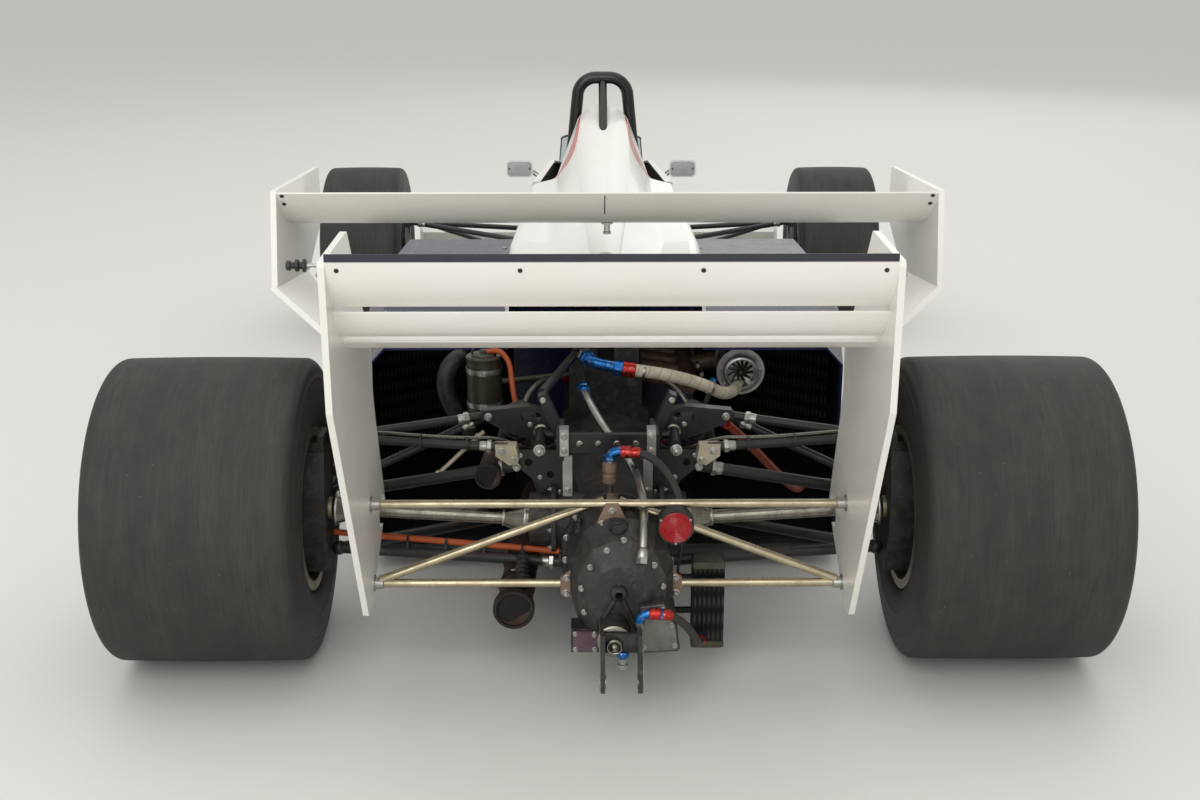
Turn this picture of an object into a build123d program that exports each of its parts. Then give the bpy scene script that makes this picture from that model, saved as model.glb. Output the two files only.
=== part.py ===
"""An open wheel racing car of the early turbo years, as an assembly of its real pieces.

Millimetres.  +X is the car's left, +Y its rear and +Z up.  The origin is on the ground, under
the middle of the car's overall length.  Stations along the car are given as the distance
"ahead" of the rear axle, so a table of sections reads from the nose to the tail.
"""
from build123d import *
import math
import os

os.makedirs("parts", exist_ok=True)

# ---------------------------------------------------------------- whole car
WHEELBASE = 2800.0
FRONT_OVERHANG = 1000.0  # front axle to the front wing's leading edge
REAR_OVERHANG = 560.0  # rear axle to the rear edges of the rear wing's end plates
REAR_TRACK = 1680.0
FRONT_TRACK = 1800.0
REAR_AXLE_Y = (WHEELBASE + FRONT_OVERHANG - REAR_OVERHANG) / 2
LEFT, RIGHT = 1, -1
SEAT_GAP = 0.3  # between curved neighbours that rest on each other
RUNNING_FIT = 0.05  # radial, between a turning or sliding bar and its bore
MOVING_GAP = 6.0  # between pieces that move past each other

# ---------------------------------------------------------------- wheels and tyres
RIM_RADIUS = 165.0  # bead seat of a 13 inch rim
RIM_WALL = 7.0
FLANGE_HEIGHT = 13.0
FLANGE_WIDTH = 8.0
REAR_TYRE_RADIUS = 328.0
REAR_TYRE_WIDTH = 432.0
REAR_RIM_WIDTH = 410.0
FRONT_TYRE_RADIUS = 303.0
FRONT_TYRE_WIDTH = 304.0
FRONT_RIM_WIDTH = 288.0
REAR_SHOULDER = (30.0, 40.0)  # width and drop of the bevel beside the tread
FRONT_SHOULDER = (22.0, 30.0)
SPOKE_WINDOWS = 9
WINDOW_RADIUS = 24.0
WINDOW_PITCH_RADIUS = 108.0
WHEEL_DISC = 14.0  # thickness of the rim's centre
HUB_RADIUS = 52.0
STUB_RADIUS = 24.0
BRAKE_RADIUS = 138.0
BRAKE_INNER_RADIUS = 82.0
BRAKE_THICKNESS = 22.0
BELL_WALL = 8.0

# ---------------------------------------------------------------- rear suspension
REAR_UPRIGHT_INSET = 236.0  # of the upright's inboard face from the wheel's middle
REAR_UPRIGHT_INNER = REAR_TRACK / 2 - REAR_UPRIGHT_INSET
REAR_UPRIGHT_DEPTH = 72.0
UPPER_ARM_RADIUS = 10.0
LOWER_ARM_RADIUS = 12.0
JOINT_BALL_RADIUS = 16.0
JOINT_ACROSS = REAR_UPRIGHT_INNER - JOINT_BALL_RADIUS - SEAT_GAP
REAR_UPPER_JOINT = (JOINT_ACROSS, 6.0, 488.0)  # across, ahead, height
REAR_LOWER_JOINT = (JOINT_ACROSS, 0.0, 234.0)
SHAFT_RADIUS = 15.0
BOOT_RADIUS = 36.0
SHAFT_INNER = (172.0, 0.0, 302.0)  # inboard end of the left drive shaft
STUB_PROUD = 8.0  # of the upright's inboard face
HUB_ACROSS = REAR_UPRIGHT_INNER - STUB_PROUD
SHAFT_TILT = math.atan2(REAR_TYRE_RADIUS - SHAFT_INNER[2], HUB_ACROSS - SHAFT_INNER[0])
# a tilted end face stands off its seat by its own lean and a gap
BOOT_LEAN = BOOT_RADIUS * math.sin(SHAFT_TILT) + SEAT_GAP
STUB_LEAN = STUB_RADIUS * math.sin(SHAFT_TILT) + SEAT_GAP

# ---------------------------------------------------------------- front suspension
KINGPIN_LOWER = (FRONT_TRACK / 2 - 156, 180.0)  # across, height of the lower ball joint
KINGPIN_UPPER = (FRONT_TRACK / 2 - 169, 395.0)
FRONT_UPRIGHT_INNER = FRONT_TRACK / 2 - 148
FRONT_UPRIGHT_DEPTH = 46.0
STEERING_ARM = 110.0  # behind the front axle
STEERING_ARM_HEIGHT = 262.0
STEERING_LOCK = 16.0  # degrees each way
RACK_RADIUS = 12.0
TRACK_ROD_EYE = 21.0
TRACK_ROD_HOLE = 13.0
TRACK_ROD_PIN = 6.0

# ---------------------------------------------------------------- tub and bodywork
FLOOR_HEIGHT = 52.0
FLOOR_THICKNESS = 8.0
TUB_BOTTOM = FLOOR_HEIGHT + FLOOR_THICKNESS
TUB_HALF = 235.0
TUB_TOP = 640.0
TUB_WALL = 22.0
TUB_REAR = 850.0  # ahead of the rear axle
TUB_FRONT = WHEELBASE + 500
COCKPIT_REAR = 1345.0
COCKPIT_FRONT = WHEELBASE - 750
COWL_WALL = 8.0
COVER_WALL = 7.0
COVER_FRONT = 1296.0
COVER_REAR = 470.0
POD_HALF = 640.0
POD_WALL = 7.0
POD_FRONT = 1560.0
POD_REAR = 450.0

# ---------------------------------------------------------------- wings
PLATE_THICKNESS = 12.0
REAR_WING_HALF = 500.0  # to the outer faces of its end plates
FORWARD_WING_HALF = 700.0
FRONT_WING_HALF = 750.0
WING_EDGE = 3.0  # thickness of a trailing edge
GURNEY_HEIGHT = 13.0


def ahead(distance):
    """The row Y of a station that lies this far ahead of the rear axle."""
    return REAR_AXLE_Y - distance


def point(across, forward, height):
    """A point from its distance across, ahead of the rear axle and above the ground."""
    return Vector(across, ahead(forward), height)


def station(forward):
    """A plane across the car, looking ahead: its axes are X and Z."""
    return Plane(origin=(0, ahead(forward), 0), x_dir=(1, 0, 0), z_dir=(0, -1, 0))


def side_view(across):
    """A plane along the car: its axes are the distance ahead and Z; its normal is -X."""
    return Plane(origin=(across, REAR_AXLE_Y, 0), x_dir=(0, -1, 0), z_dir=(-1, 0, 0))


def wheel_plane(side, track, forward, height):
    """A plane through a wheel's axis: its axes are the distance outboard and the radius."""
    return Plane(origin=(side * track / 2, ahead(forward), height), x_dir=(side, 0, 0),
                 z_dir=(0, -side, 0))


def save(part, name):
    """Label a finished piece and write it to its own file."""
    part.label = name
    export_step(part, f"parts/{name}.step")


def add_bar(start, end, radius, mode=Mode.ADD):
    """Add a straight round bar to the piece being built."""
    run = Vector(*end) - Vector(*start)
    with BuildSketch(Plane(origin=start, z_dir=run)) as section:
        Circle(radius)
    extrude(section.sketch, amount=run.length, mode=mode)


def add_pipe(points, bend, radius, bore=0.0):
    """Add a round pipe along straight runs that are joined by bends."""
    with BuildLine() as route:
        FilletPolyline(*points, radius=bend)
    with BuildSketch(Plane(origin=route.line @ 0, z_dir=route.line % 0)) as section:
        Circle(radius)
        if bore:
            Circle(bore, mode=Mode.SUBTRACT)
    sweep(section.sketch, path=route.line)


def add_ball(centre, radius):
    """Add a ball to the piece being built, with its seam on the outboard side."""
    with Locations(centre):
        Sphere(radius, rotation=(0, 0, 0 if centre.X > 0 else 180))


def cut_clear(*pieces):
    """Cut the piece being built back to the faces of its neighbours."""
    for piece in pieces:
        add(piece.part, mode=Mode.SUBTRACT)


def aerofoil(nose, tail, camber, thickness):
    """Sketch a wing section from its nose to its tail, hollow side up, in a side view."""
    chord = Vector(*tail) - Vector(*nose)
    normal = Vector(chord.Y, -chord.X).normalized()
    if normal.Y > 0:
        normal = normal * -1
    middle = (Vector(*nose) + Vector(*tail)) * 0.5 - chord * 0.08
    upper = middle + normal * (camber - thickness / 2)
    lower = middle + normal * (camber + thickness / 2)
    tail_low = Vector(*tail) + normal * WING_EDGE
    nose_high = Vector(*nose) - normal * (thickness * 0.22)
    nose_low = Vector(*nose) + normal * (thickness * 0.22)
    nose_tip = Vector(*nose) - chord.normalized() * (thickness * 0.22)
    with BuildLine() as outline:
        ThreePointArc(nose_high, upper, tail)
        Line(tail, tail_low)
        ThreePointArc(tail_low, lower, nose_low)
        ThreePointArc(nose_low, nose_tip, nose_high)
    make_face(outline.edges())


# ================================================================ wheels
def build_rim(name, side, track, forward, height, width, disc_at, brake_at, stub_to):
    """A rim with its hub, stub axle and brake disc: all of them turn together.

    disc_at, brake_at and stub_to are distances outboard of the wheel's middle.
    """
    frame = wheel_plane(side, track, forward, height)
    axis = Axis(frame.origin, (1, 0, 0))
    half = width / 2
    inner = RIM_RADIUS - RIM_WALL
    with BuildPart() as rim:
        with BuildSketch(frame):
            Polygon((-half, inner), (half, inner), (half, RIM_RADIUS + FLANGE_HEIGHT),
                    (half - FLANGE_WIDTH, RIM_RADIUS + FLANGE_HEIGHT),
                    (half - FLANGE_WIDTH, RIM_RADIUS), (FLANGE_WIDTH - half, RIM_RADIUS),
                    (FLANGE_WIDTH - half, RIM_RADIUS + FLANGE_HEIGHT),
                    (-half, RIM_RADIUS + FLANGE_HEIGHT), align=None)
            Polygon((disc_at, 0), (disc_at + 55, 0), (disc_at + 48, HUB_RADIUS),
                    (disc_at + WHEEL_DISC + 6, HUB_RADIUS + 16), (disc_at + WHEEL_DISC, inner + 1),
                    (disc_at, inner + 1), align=None)
            Polygon((stub_to, 0), (disc_at + 1, 0), (disc_at + 1, STUB_RADIUS),
                    (stub_to, STUB_RADIUS), align=None)
            # the bell and the ring of the brake disc
            Polygon((brake_at, BRAKE_INNER_RADIUS), (brake_at + BRAKE_THICKNESS, BRAKE_INNER_RADIUS),
                    (brake_at + BRAKE_THICKNESS, BRAKE_RADIUS), (brake_at, BRAKE_RADIUS), align=None)
            Polygon((brake_at + 4, BRAKE_INNER_RADIUS - BELL_WALL), (disc_at + 1, HUB_RADIUS - BELL_WALL),
                    (disc_at + 1, HUB_RADIUS), (brake_at + 4, BRAKE_INNER_RADIUS + 1), align=None)
        revolve(axis=axis)
        with BuildSketch(Plane(origin=frame.origin + Vector(side * (disc_at - 1), 0, 0),
                               z_dir=(side, 0, 0))):
            with PolarLocations(WINDOW_PITCH_RADIUS, SPOKE_WINDOWS):
                Circle(WINDOW_RADIUS)
        extrude(amount=WHEEL_DISC + 20, mode=Mode.SUBTRACT)
    save(rim.part, name)
    return rim


def build_tyre(name, side, track, forward, height, width, radius, rim_width, shoulder):
    """A slick tyre, closed against its rim: beads between the flanges, flat walls, bevelled shoulders."""
    frame = wheel_plane(side, track, forward, height)
    half = width / 2
    bead = rim_width / 2 - FLANGE_WIDTH - SEAT_GAP
    flange_top = RIM_RADIUS + FLANGE_HEIGHT + SEAT_GAP
    bevel, drop = shoulder
    flank = ((bead, RIM_RADIUS + SEAT_GAP), (bead, flange_top), (half, flange_top), (half, radius - drop),
             (half - bevel, radius))
    with BuildPart() as tyre:
        with BuildSketch(frame):
            Polygon(*flank, *[(-out, level) for out, level in reversed(flank)], align=None)
        revolve(axis=Axis(frame.origin, (1, 0, 0)))
    save(tyre.part, name)
    return tyre


REAR_DISC_AT = 20.0
REAR_BRAKE_AT = -92.0
REAR_STUB_TO = HUB_ACROSS - REAR_TRACK / 2
FRONT_DISC_AT = 34.0
FRONT_BRAKE_AT = -62.0
FRONT_STUB_TO = FRONT_UPRIGHT_INNER - FRONT_TRACK / 2 - 4

for side, word in ((LEFT, "left"), (RIGHT, "right")):
    build_rim(f"rear_rim_{word}", side, REAR_TRACK, 0, REAR_TYRE_RADIUS, REAR_RIM_WIDTH,
              REAR_DISC_AT, REAR_BRAKE_AT, REAR_STUB_TO)
    build_tyre(f"rear_tyre_{word}", side, REAR_TRACK, 0, REAR_TYRE_RADIUS, REAR_TYRE_WIDTH,
               REAR_TYRE_RADIUS, REAR_RIM_WIDTH, REAR_SHOULDER)
    build_rim(f"front_rim_{word}", side, FRONT_TRACK, WHEELBASE, FRONT_TYRE_RADIUS, FRONT_RIM_WIDTH,
              FRONT_DISC_AT, FRONT_BRAKE_AT, FRONT_STUB_TO)
    build_tyre(f"front_tyre_{word}", side, FRONT_TRACK, WHEELBASE, FRONT_TYRE_RADIUS,
               FRONT_TYRE_WIDTH, FRONT_TYRE_RADIUS, FRONT_RIM_WIDTH, FRONT_SHOULDER)

# ================================================================ tub
# ahead, half width at the bottom, half width at the top, bottom, top
TUB_SECTIONS = (
    (TUB_FRONT, 118, 108, 112, 400),
    (WHEELBASE, 150, 138, 74, 455),
    (2300, 190, 178, TUB_BOTTOM, 560),
    (1950, 222, 216, TUB_BOTTOM, 610),
    (1250, TUB_HALF, TUB_HALF, TUB_BOTTOM, TUB_TOP),
    (TUB_REAR, TUB_HALF, TUB_HALF, TUB_BOTTOM, TUB_TOP),
)
TUB_CORNER = 14.0


def tub_section(row, inset=0.0):
    """Sketch one section of the tub, drawn in by a wall thickness."""
    _, bottom_half, top_half, bottom, top = row
    Polygon((inset - bottom_half, bottom + inset), (bottom_half - inset, bottom + inset),
            (top_half - inset, top - inset), (inset - top_half, top - inset), align=None)


def between(table, forward):
    """The row of a table of sections at a station, worked out from the rows on either side."""
    for front, rear in zip(table, table[1:]):
        if front[0] >= forward >= rear[0]:
            share = (forward - rear[0]) / (front[0] - rear[0])
            return (forward, *(b + (a - b) * share for a, b in zip(front[1:], rear[1:])))
    raise ValueError(f"no section at {forward}")


CAVITY_STATIONS = (TUB_FRONT - TUB_WALL, WHEELBASE, 2300, 1950, COCKPIT_REAR)
with BuildPart() as cavity:
    for forward in CAVITY_STATIONS:
        with BuildSketch(station(forward)):
            tub_section(between(TUB_SECTIONS, forward), TUB_WALL)
    loft(ruled=True)

with BuildPart() as monocoque:
    for row in TUB_SECTIONS:
        with BuildSketch(station(row[0])):
            tub_section(row)
            fillet(vertices(), TUB_CORNER)
    loft(ruled=True)
    cut_clear(cavity)
    # the cockpit opening through the tub's top
    front_row = between(TUB_SECTIONS, COCKPIT_FRONT)
    rear_row = between(TUB_SECTIONS, COCKPIT_REAR)
    with BuildSketch(Plane.XY.offset(front_row[4] - 2 * TUB_WALL)):
        Polygon((TUB_WALL - front_row[2], ahead(COCKPIT_FRONT)), (front_row[2] - TUB_WALL, ahead(COCKPIT_FRONT)),
                (rear_row[2] - TUB_WALL, ahead(COCKPIT_REAR)), (TUB_WALL - rear_row[2], ahead(COCKPIT_REAR)),
                align=None)
    extrude(amount=4 * TUB_WALL + 60, mode=Mode.SUBTRACT)
    # the bushes that the steering rack slides in
    add_bar(point(-300, WHEELBASE - STEERING_ARM, STEERING_ARM_HEIGHT),
            point(300, WHEELBASE - STEERING_ARM, STEERING_ARM_HEIGHT), RACK_RADIUS + RUNNING_FIT,
            mode=Mode.SUBTRACT)
save(monocoque.part, "monocoque")

# ================================================================ floor
# ahead, half width
FLOOR_OUTLINE = ((2300, 186), (1700, 300), (POD_FRONT, 600), (POD_FRONT - 60, POD_HALF), (700, 618), (420, 580))
with BuildPart() as floor_pan:
    with BuildSketch(Plane.XY.offset(FLOOR_HEIGHT)):
        Polygon(*[(half, ahead(s)) for s, half in FLOOR_OUTLINE],
                *[(-half, ahead(s)) for s, half in reversed(FLOOR_OUTLINE)], align=None)
    extrude(amount=FLOOR_THICKNESS)
save(floor_pan.part, "floor_pan")

# ================================================================ side pods and radiators
# ahead, outer half width, top
POD_SECTIONS = ((POD_FRONT, POD_HALF - 6, 590), (1250, POD_HALF, 604), (TUB_REAR, 624, 594), (POD_REAR, 575, 560))
POD_CHAMFER = (42.0, 46.0)
RADIATOR_THICKNESS = 62.0
RADIATOR_SWEEP = 34.0  # degrees
RADIATOR_AT = 1120.0


def pod_section(row, side, inset=0.0, inner_wall=True):
    """Sketch one section of a side pod, drawn in by a wall thickness."""
    _, outer, top = row
    across, drop = POD_CHAMFER
    inner = TUB_HALF + inset if inner_wall else TUB_HALF - inset
    corners = ((inner, TUB_BOTTOM + inset), (outer - inset, TUB_BOTTOM + inset),
               (outer - inset, top - drop), (outer - across, top - inset), (inner, top - inset))
    Polygon(*[(side * x, z) for x, z in corners], align=None)


def pod_duct(side):
    """The air space inside a side pod, open at both ends."""
    with BuildPart() as duct:
        for row in POD_SECTIONS:
            with BuildSketch(station(row[0])):
                pod_section(row, side, POD_WALL)
        loft(ruled=True)
        # behind the tub the pod is open to the engine
        for row in POD_SECTIONS[-2:]:
            with BuildSketch(station(row[0])):
                pod_section(row, side, POD_WALL, inner_wall=False)
        loft(ruled=True)
    return duct


ducts = {side: pod_duct(side) for side in (LEFT, RIGHT)}
with BuildPart() as sidepods:
    for side in (LEFT, RIGHT):
        for row in POD_SECTIONS:
            with BuildSketch(station(row[0])):
                pod_section(row, side)
        loft(ruled=True)
    cut_clear(*ducts.values(), monocoque)
save(sidepods.part, "sidepods")

with BuildPart() as radiators:
    for side in (LEFT, RIGHT):
        middle = side * (TUB_HALF + POD_HALF) / 2
        with BuildSketch(Plane.XY.offset(TUB_BOTTOM)):
            with Locations(Location((middle, ahead(RADIATOR_AT), 0), (0, 0, side * RADIATOR_SWEEP))):
                Rectangle(2 * POD_HALF, RADIATOR_THICKNESS)
            with Locations((middle, ahead(RADIATOR_AT))):
                Rectangle(POD_HALF - TUB_HALF, 3 * POD_HALF, mode=Mode.INTERSECT)
        extrude(amount=TUB_TOP)
    add(ducts[LEFT].part + ducts[RIGHT].part, mode=Mode.INTERSECT)

# ================================================================ nose and front wing
FRONT_WING_AHEAD = WHEELBASE + FRONT_OVERHANG
FRONT_PLANE_CHORD = 390.0
FRONT_FLAP_INNER = 140.0
with BuildPart() as front_wing:
    with BuildSketch(side_view(FRONT_WING_HALF - PLATE_THICKNESS)):
        aerofoil((FRONT_WING_AHEAD - 12, 112), (FRONT_WING_AHEAD - FRONT_PLANE_CHORD, 168), 26, 34)
    extrude(amount=2 * (FRONT_WING_HALF - PLATE_THICKNESS))
    for face in (FRONT_WING_HALF - PLATE_THICKNESS, -FRONT_FLAP_INNER):
        with BuildSketch(side_view(face)):
            aerofoil((FRONT_WING_AHEAD - FRONT_PLANE_CHORD - 6, 190), (FRONT_WING_AHEAD - 540, 262), 18, 18)
        extrude(amount=FRONT_WING_HALF - PLATE_THICKNESS - FRONT_FLAP_INNER)
save(front_wing.part, "front_wing")

# ahead, height
FRONT_PLATE_OUTLINE = ((0, 62), (0, 150), (-250, 262), (-400, 292), (-552, 292), (-552, 62))
with BuildPart() as front_wing_plates:
    for face in (FRONT_WING_HALF, PLATE_THICKNESS - FRONT_WING_HALF):
        with BuildSketch(side_view(face)):
            Polygon(*[(FRONT_WING_AHEAD + s, z) for s, z in FRONT_PLATE_OUTLINE], align=None)
            fillet(vertices().group_by(Axis.Z)[-1], 30)
        extrude(amount=PLATE_THICKNESS)
save(front_wing_plates.part, "front_wing_plates")

# ahead, half width, bottom, top
NOSE_SECTIONS = ((FRONT_WING_AHEAD - 48, 52, 132, 172), (FRONT_WING_AHEAD - 240, 84, 124, 282),
                 (TUB_FRONT, 118, 112, 428))
with BuildPart() as nose_cone:
    for forward, half, bottom, top in NOSE_SECTIONS:
        with BuildSketch(station(forward)):
            Polygon((-half, bottom), (half, bottom), (half * 0.86, top), (-half * 0.86, top), align=None)
            fillet(vertices(), 13)
    loft(ruled=True)
    cut_clear(front_wing)
save(nose_cone.part, "nose_cone")

# ================================================================ cockpit cowl, windscreen, seat
# ahead, half width at the base, half width at the top, top
COWL_SECTIONS = (
    (TUB_FRONT, 106, 98, 428),
    (WHEELBASE, 134, 108, 520),
    (2300, 170, 132, 655),
    (2090, 190, 146, 740),
    (1800, 208, 164, 796),
    (COCKPIT_REAR, 228, 204, 806),
)


def cowl_section(row, inset=0.0, sink=0.0):
    """Sketch one section of the cowl, drawn in by a wall and sunk below its seat."""
    forward, base_half, top_half, top = row
    base = between(TUB_SECTIONS, forward)[4] - sink
    Polygon((inset - base_half, base), (base_half - inset, base), (top_half - inset, top - inset),
            (inset - top_half, top - inset), align=None)


OPENING_FRONT_HALF = 128.0
OPENING_REAR_HALF = 184.0
with BuildPart() as cowl_hull:
    for row in COWL_SECTIONS:
        with BuildSketch(station(row[0])):
            cowl_section(row, sink=30)
    loft(ruled=True)

with BuildPart() as cockpit_cowl:
    add(cowl_hull.part)
    for row in COWL_SECTIONS:
        with BuildSketch(station(row[0])):
            cowl_section(row, COWL_WALL, sink=60)
    loft(ruled=True, mode=Mode.SUBTRACT)
    with BuildSketch(Plane.XY.offset(TUB_TOP - 60)):
        Polygon((-OPENING_FRONT_HALF, ahead(COCKPIT_FRONT)), (OPENING_FRONT_HALF, ahead(COCKPIT_FRONT)),
                (OPENING_REAR_HALF, ahead(COCKPIT_REAR) + 40), (-OPENING_REAR_HALF, ahead(COCKPIT_REAR) + 40),
                align=None)
        fillet(vertices().group_by(Axis.Y)[0], 70)
    extrude(amount=400, mode=Mode.SUBTRACT)
    cut_clear(monocoque)
save(cockpit_cowl.part, "cockpit_cowl")

SCREEN_AT = COCKPIT_FRONT - 65
SCREEN_RADIUS = 150.0
SCREEN_THICKNESS = 4.0
SCREEN_TOP = 838.0
with BuildPart() as windscreen:
    with BuildSketch(Plane(origin=point(0, SCREEN_AT, 0), x_dir=(1, 0, 0), z_dir=(0, -1, 0))):
        Polygon((SCREEN_RADIUS, 640), (SCREEN_RADIUS - 18, SCREEN_TOP),
                (SCREEN_RADIUS - 18 - SCREEN_THICKNESS, SCREEN_TOP), (SCREEN_RADIUS - SCREEN_THICKNESS, 640),
                align=None)
    revolve(axis=Axis(point(0, SCREEN_AT, 0), (0, 0, 1)), revolution_arc=-180)
    cut_clear(cowl_hull)
save(windscreen.part, "windscreen")

SEAT_HALF = 168.0
SEAT_FLOOR = TUB_BOTTOM + TUB_WALL
# ahead, height of the seat's side profile
SEAT_PROFILE = ((COCKPIT_REAR, 620), (COCKPIT_REAR, SEAT_FLOOR), (1900, SEAT_FLOOR), (1900, 150),
                (1620, 128), (1490, 190), (COCKPIT_REAR + 45, 620))
with BuildPart() as seat:
    with BuildSketch(side_view(SEAT_HALF)):
        Polygon(*SEAT_PROFILE, align=None)
    extrude(amount=2 * SEAT_HALF)
save(seat.part, "seat")

WHEEL_AT = (COCKPIT_FRONT - 150, 610.0)  # ahead and height of the steering wheel's middle
WHEEL_RADIUS = 122.0
COLUMN_FOOT = (COCKPIT_FRONT + 70, 574.0)  # ahead and height, in the tub's top wall
COLUMN_RADIUS = 9.0
WHEEL_SECTION = 22.0
with BuildPart() as steering_wheel:
    hub = point(0, *WHEEL_AT)
    with BuildSketch(Plane(origin=hub, x_dir=(1, 0, 0), z_dir=point(0, *COLUMN_FOOT) - hub)):
        Circle(WHEEL_RADIUS)
        Circle(WHEEL_RADIUS - WHEEL_SECTION, mode=Mode.SUBTRACT)
        Rectangle(2 * WHEEL_RADIUS - WHEEL_SECTION, 1.5 * WHEEL_SECTION)
    extrude(amount=WHEEL_SECTION * 0.6)
    add_bar(hub, point(0, *COLUMN_FOOT), COLUMN_RADIUS)
    cut_clear(monocoque, cockpit_cowl)
save(steering_wheel.part, "steering_wheel")

# ================================================================ mirrors and roll hoop
MIRROR_INNER, MIRROR_OUTER = 223.0, 310.0
MIRROR_LOW, MIRROR_HIGH = 724.0, 780.0
MIRROR_AT = COCKPIT_FRONT - 150
MIRROR_DEPTH = 62.0
MIRROR_STALK = 7.0
with BuildPart() as mirrors:
    for side in (LEFT, RIGHT):
        with BuildSketch(station(MIRROR_AT)):
            with Locations((side * (MIRROR_INNER + MIRROR_OUTER) / 2, (MIRROR_LOW + MIRROR_HIGH) / 2)):
                RectangleRounded(MIRROR_OUTER - MIRROR_INNER, MIRROR_HIGH - MIRROR_LOW, 14)
        extrude(amount=MIRROR_DEPTH, taper=9)
        add_bar(point(side * (MIRROR_INNER + 10), MIRROR_AT + 20, MIRROR_LOW + 20),
                point(side * 160, MIRROR_AT + 20, MIRROR_LOW - 30), MIRROR_STALK)
    cut_clear(cowl_hull)
save(mirrors.part, "mirrors")

HOOP_AT = 1322.0
HOOP_RADIUS = 17.0
OVERALL_HEIGHT = 1124.0
HOOP_TOP = OVERALL_HEIGHT - HOOP_RADIUS
HOOP_FOOT_HALF = 122.0
HOOP_TOP_HALF = 74.0
with BuildPart() as roll_hoop:
    add_pipe([point(x, HOOP_AT, z) for x, z in ((HOOP_FOOT_HALF, TUB_TOP), (HOOP_TOP_HALF + 10, 930),
             (HOOP_TOP_HALF - 8, HOOP_TOP), (8 - HOOP_TOP_HALF, HOOP_TOP), (-HOOP_TOP_HALF - 10, 930),
             (-HOOP_FOOT_HALF, TUB_TOP))], 52, HOOP_RADIUS)
    cut_clear(monocoque)

# ================================================================ engine cover
# ahead, half width of the foot, then half width and height of the shoulder, valley and spine, height of the crest
COVER_SECTIONS = (
    (COVER_FRONT, 236, (206, 806), (134, 824), (72, 992), 1034),
    (1000, 240, (216, 800), (132, 802), (70, 896), 936),
    (700, 246, (240, 770), (140, 762), (52, 812), 843),
    (COVER_REAR, 248, (232, 770), (120, 752), (34, 768), 790),
)
COVER_ROUND = 26.0


def cover_section(row, inset=0.0, sink=0.0):
    """Sketch one section of the engine cover: a round spine between two shoulders."""
    forward, foot_half, *bends, crest = row
    foot = between(POD_SECTIONS, forward)[2] - POD_WALL / 2 - sink
    half = [(foot_half - inset, foot), *[(across - inset, height - inset) for across, height in bends]]
    with BuildLine() as outline:
        Polyline(*half)
        ThreePointArc(half[-1], (0, crest - inset), (-half[-1][0], half[-1][1]))
        Polyline(*[(-across, height) for across, height in half])
        Line((-half[0][0], foot), half[0])
    make_face(outline.edges())
    fillet(vertices().filter_by(lambda v: abs(v.X) > 100 and v.Y > foot + 60), COVER_ROUND)


with BuildPart() as engine_cover:
    for row in COVER_SECTIONS:
        with BuildSketch(station(row[0])):
            cover_section(row)
    loft(ruled=True)
    for row in COVER_SECTIONS:
        with BuildSketch(station(row[0])):
            cover_section(row, COVER_WALL, sink=40)
    loft(ruled=True, mode=Mode.SUBTRACT)
    cut_clear(monocoque, sidepods, roll_hoop)
save(engine_cover.part, "engine_cover")

with BuildPart() as roll_hoop_stay:
    add_bar(point(0, HOOP_AT, HOOP_TOP - 8), point(0, 1130, 960), HOOP_RADIUS * 0.7)
    cut_clear(roll_hoop)
    cut_clear(engine_cover)
with BuildPart() as hoop_with_stay:
    add(roll_hoop.part)
    add(roll_hoop_stay.part.solids().sort_by(Axis.Z)[-1])
save(hoop_with_stay.part, "roll_hoop")

# ================================================================ engine, gearbox and their fittings
ENGINE_REAR = 440.0
ENGINE_HALF = 104.0
ENGINE_BOTTOM = 112.0
BLOCK_TOP = 400.0
HEAD_TOP = 520.0
HEAD_HALF = 88.0
CAM_COVER_HALF = 30.0
CAM_COVER_AT = 50.0
CAM_COVER_TOP = 572.0
with BuildPart() as engine:
    with BuildSketch(station(ENGINE_REAR)):
        Polygon((-ENGINE_HALF + 24, ENGINE_BOTTOM), (ENGINE_HALF - 24, ENGINE_BOTTOM), (ENGINE_HALF, 220),
                (ENGINE_HALF, BLOCK_TOP), (HEAD_HALF, BLOCK_TOP + 12), (HEAD_HALF, HEAD_TOP),
                (-HEAD_HALF, HEAD_TOP), (-HEAD_HALF, BLOCK_TOP + 12), (-ENGINE_HALF, BLOCK_TOP),
                (-ENGINE_HALF, 220), align=None)
        with Locations((CAM_COVER_AT, HEAD_TOP), (-CAM_COVER_AT, HEAD_TOP)):
            RectangleRounded(2 * CAM_COVER_HALF, 2 * (CAM_COVER_TOP - HEAD_TOP), 14)
    extrude(amount=TUB_REAR - ENGINE_REAR)
save(engine.part, "engine")

# ahead, middle, half width, bottom, top
GEARBOX_SECTIONS = ((ENGINE_REAR, 0, 150, 96, 396), (150, 0, 112, 100, 378), (-70, -18, 106, 104, 378),
                    (-200, -27, 106, 118, 383), (-240, -27, 90, 130, 350), (-262, -26, 58, 156, 302))
GEARBOX_ROUND = 10.0
OUTPUT_RADIUS = 58.0
OUTPUT_HALF = SHAFT_INNER[0] - BOOT_LEAN
RIB_RADIUS = 6.0
RIB_FORK = (-20.0, -262.0, 246.0)  # across, ahead, height where the ribs of the tail's face meet
RIB_ENDS = ((-25.0, -236.0, 352.0), (18.0, -262.0, 176.0), (-52.0, -262.0, 176.0))
SNOUT_AT = (-10.0, 166.0)  # across, height of the boss behind the tail
SNOUT_RADIUS = 34.0
# across, height of the casing on the tail's right side
SIDE_CASING = ((-60, 226), (-112, 232), (-138, 184), (-146, 122), (-60, 118))
PUMP_BODY = ((20, 78), (108, 160), (-200, -252))  # its spans across, in height and ahead
EAR_PLACES = (18.0, -56.0)  # across, outer faces of the two jacking ears
EAR_THICKNESS = 9.0
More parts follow.
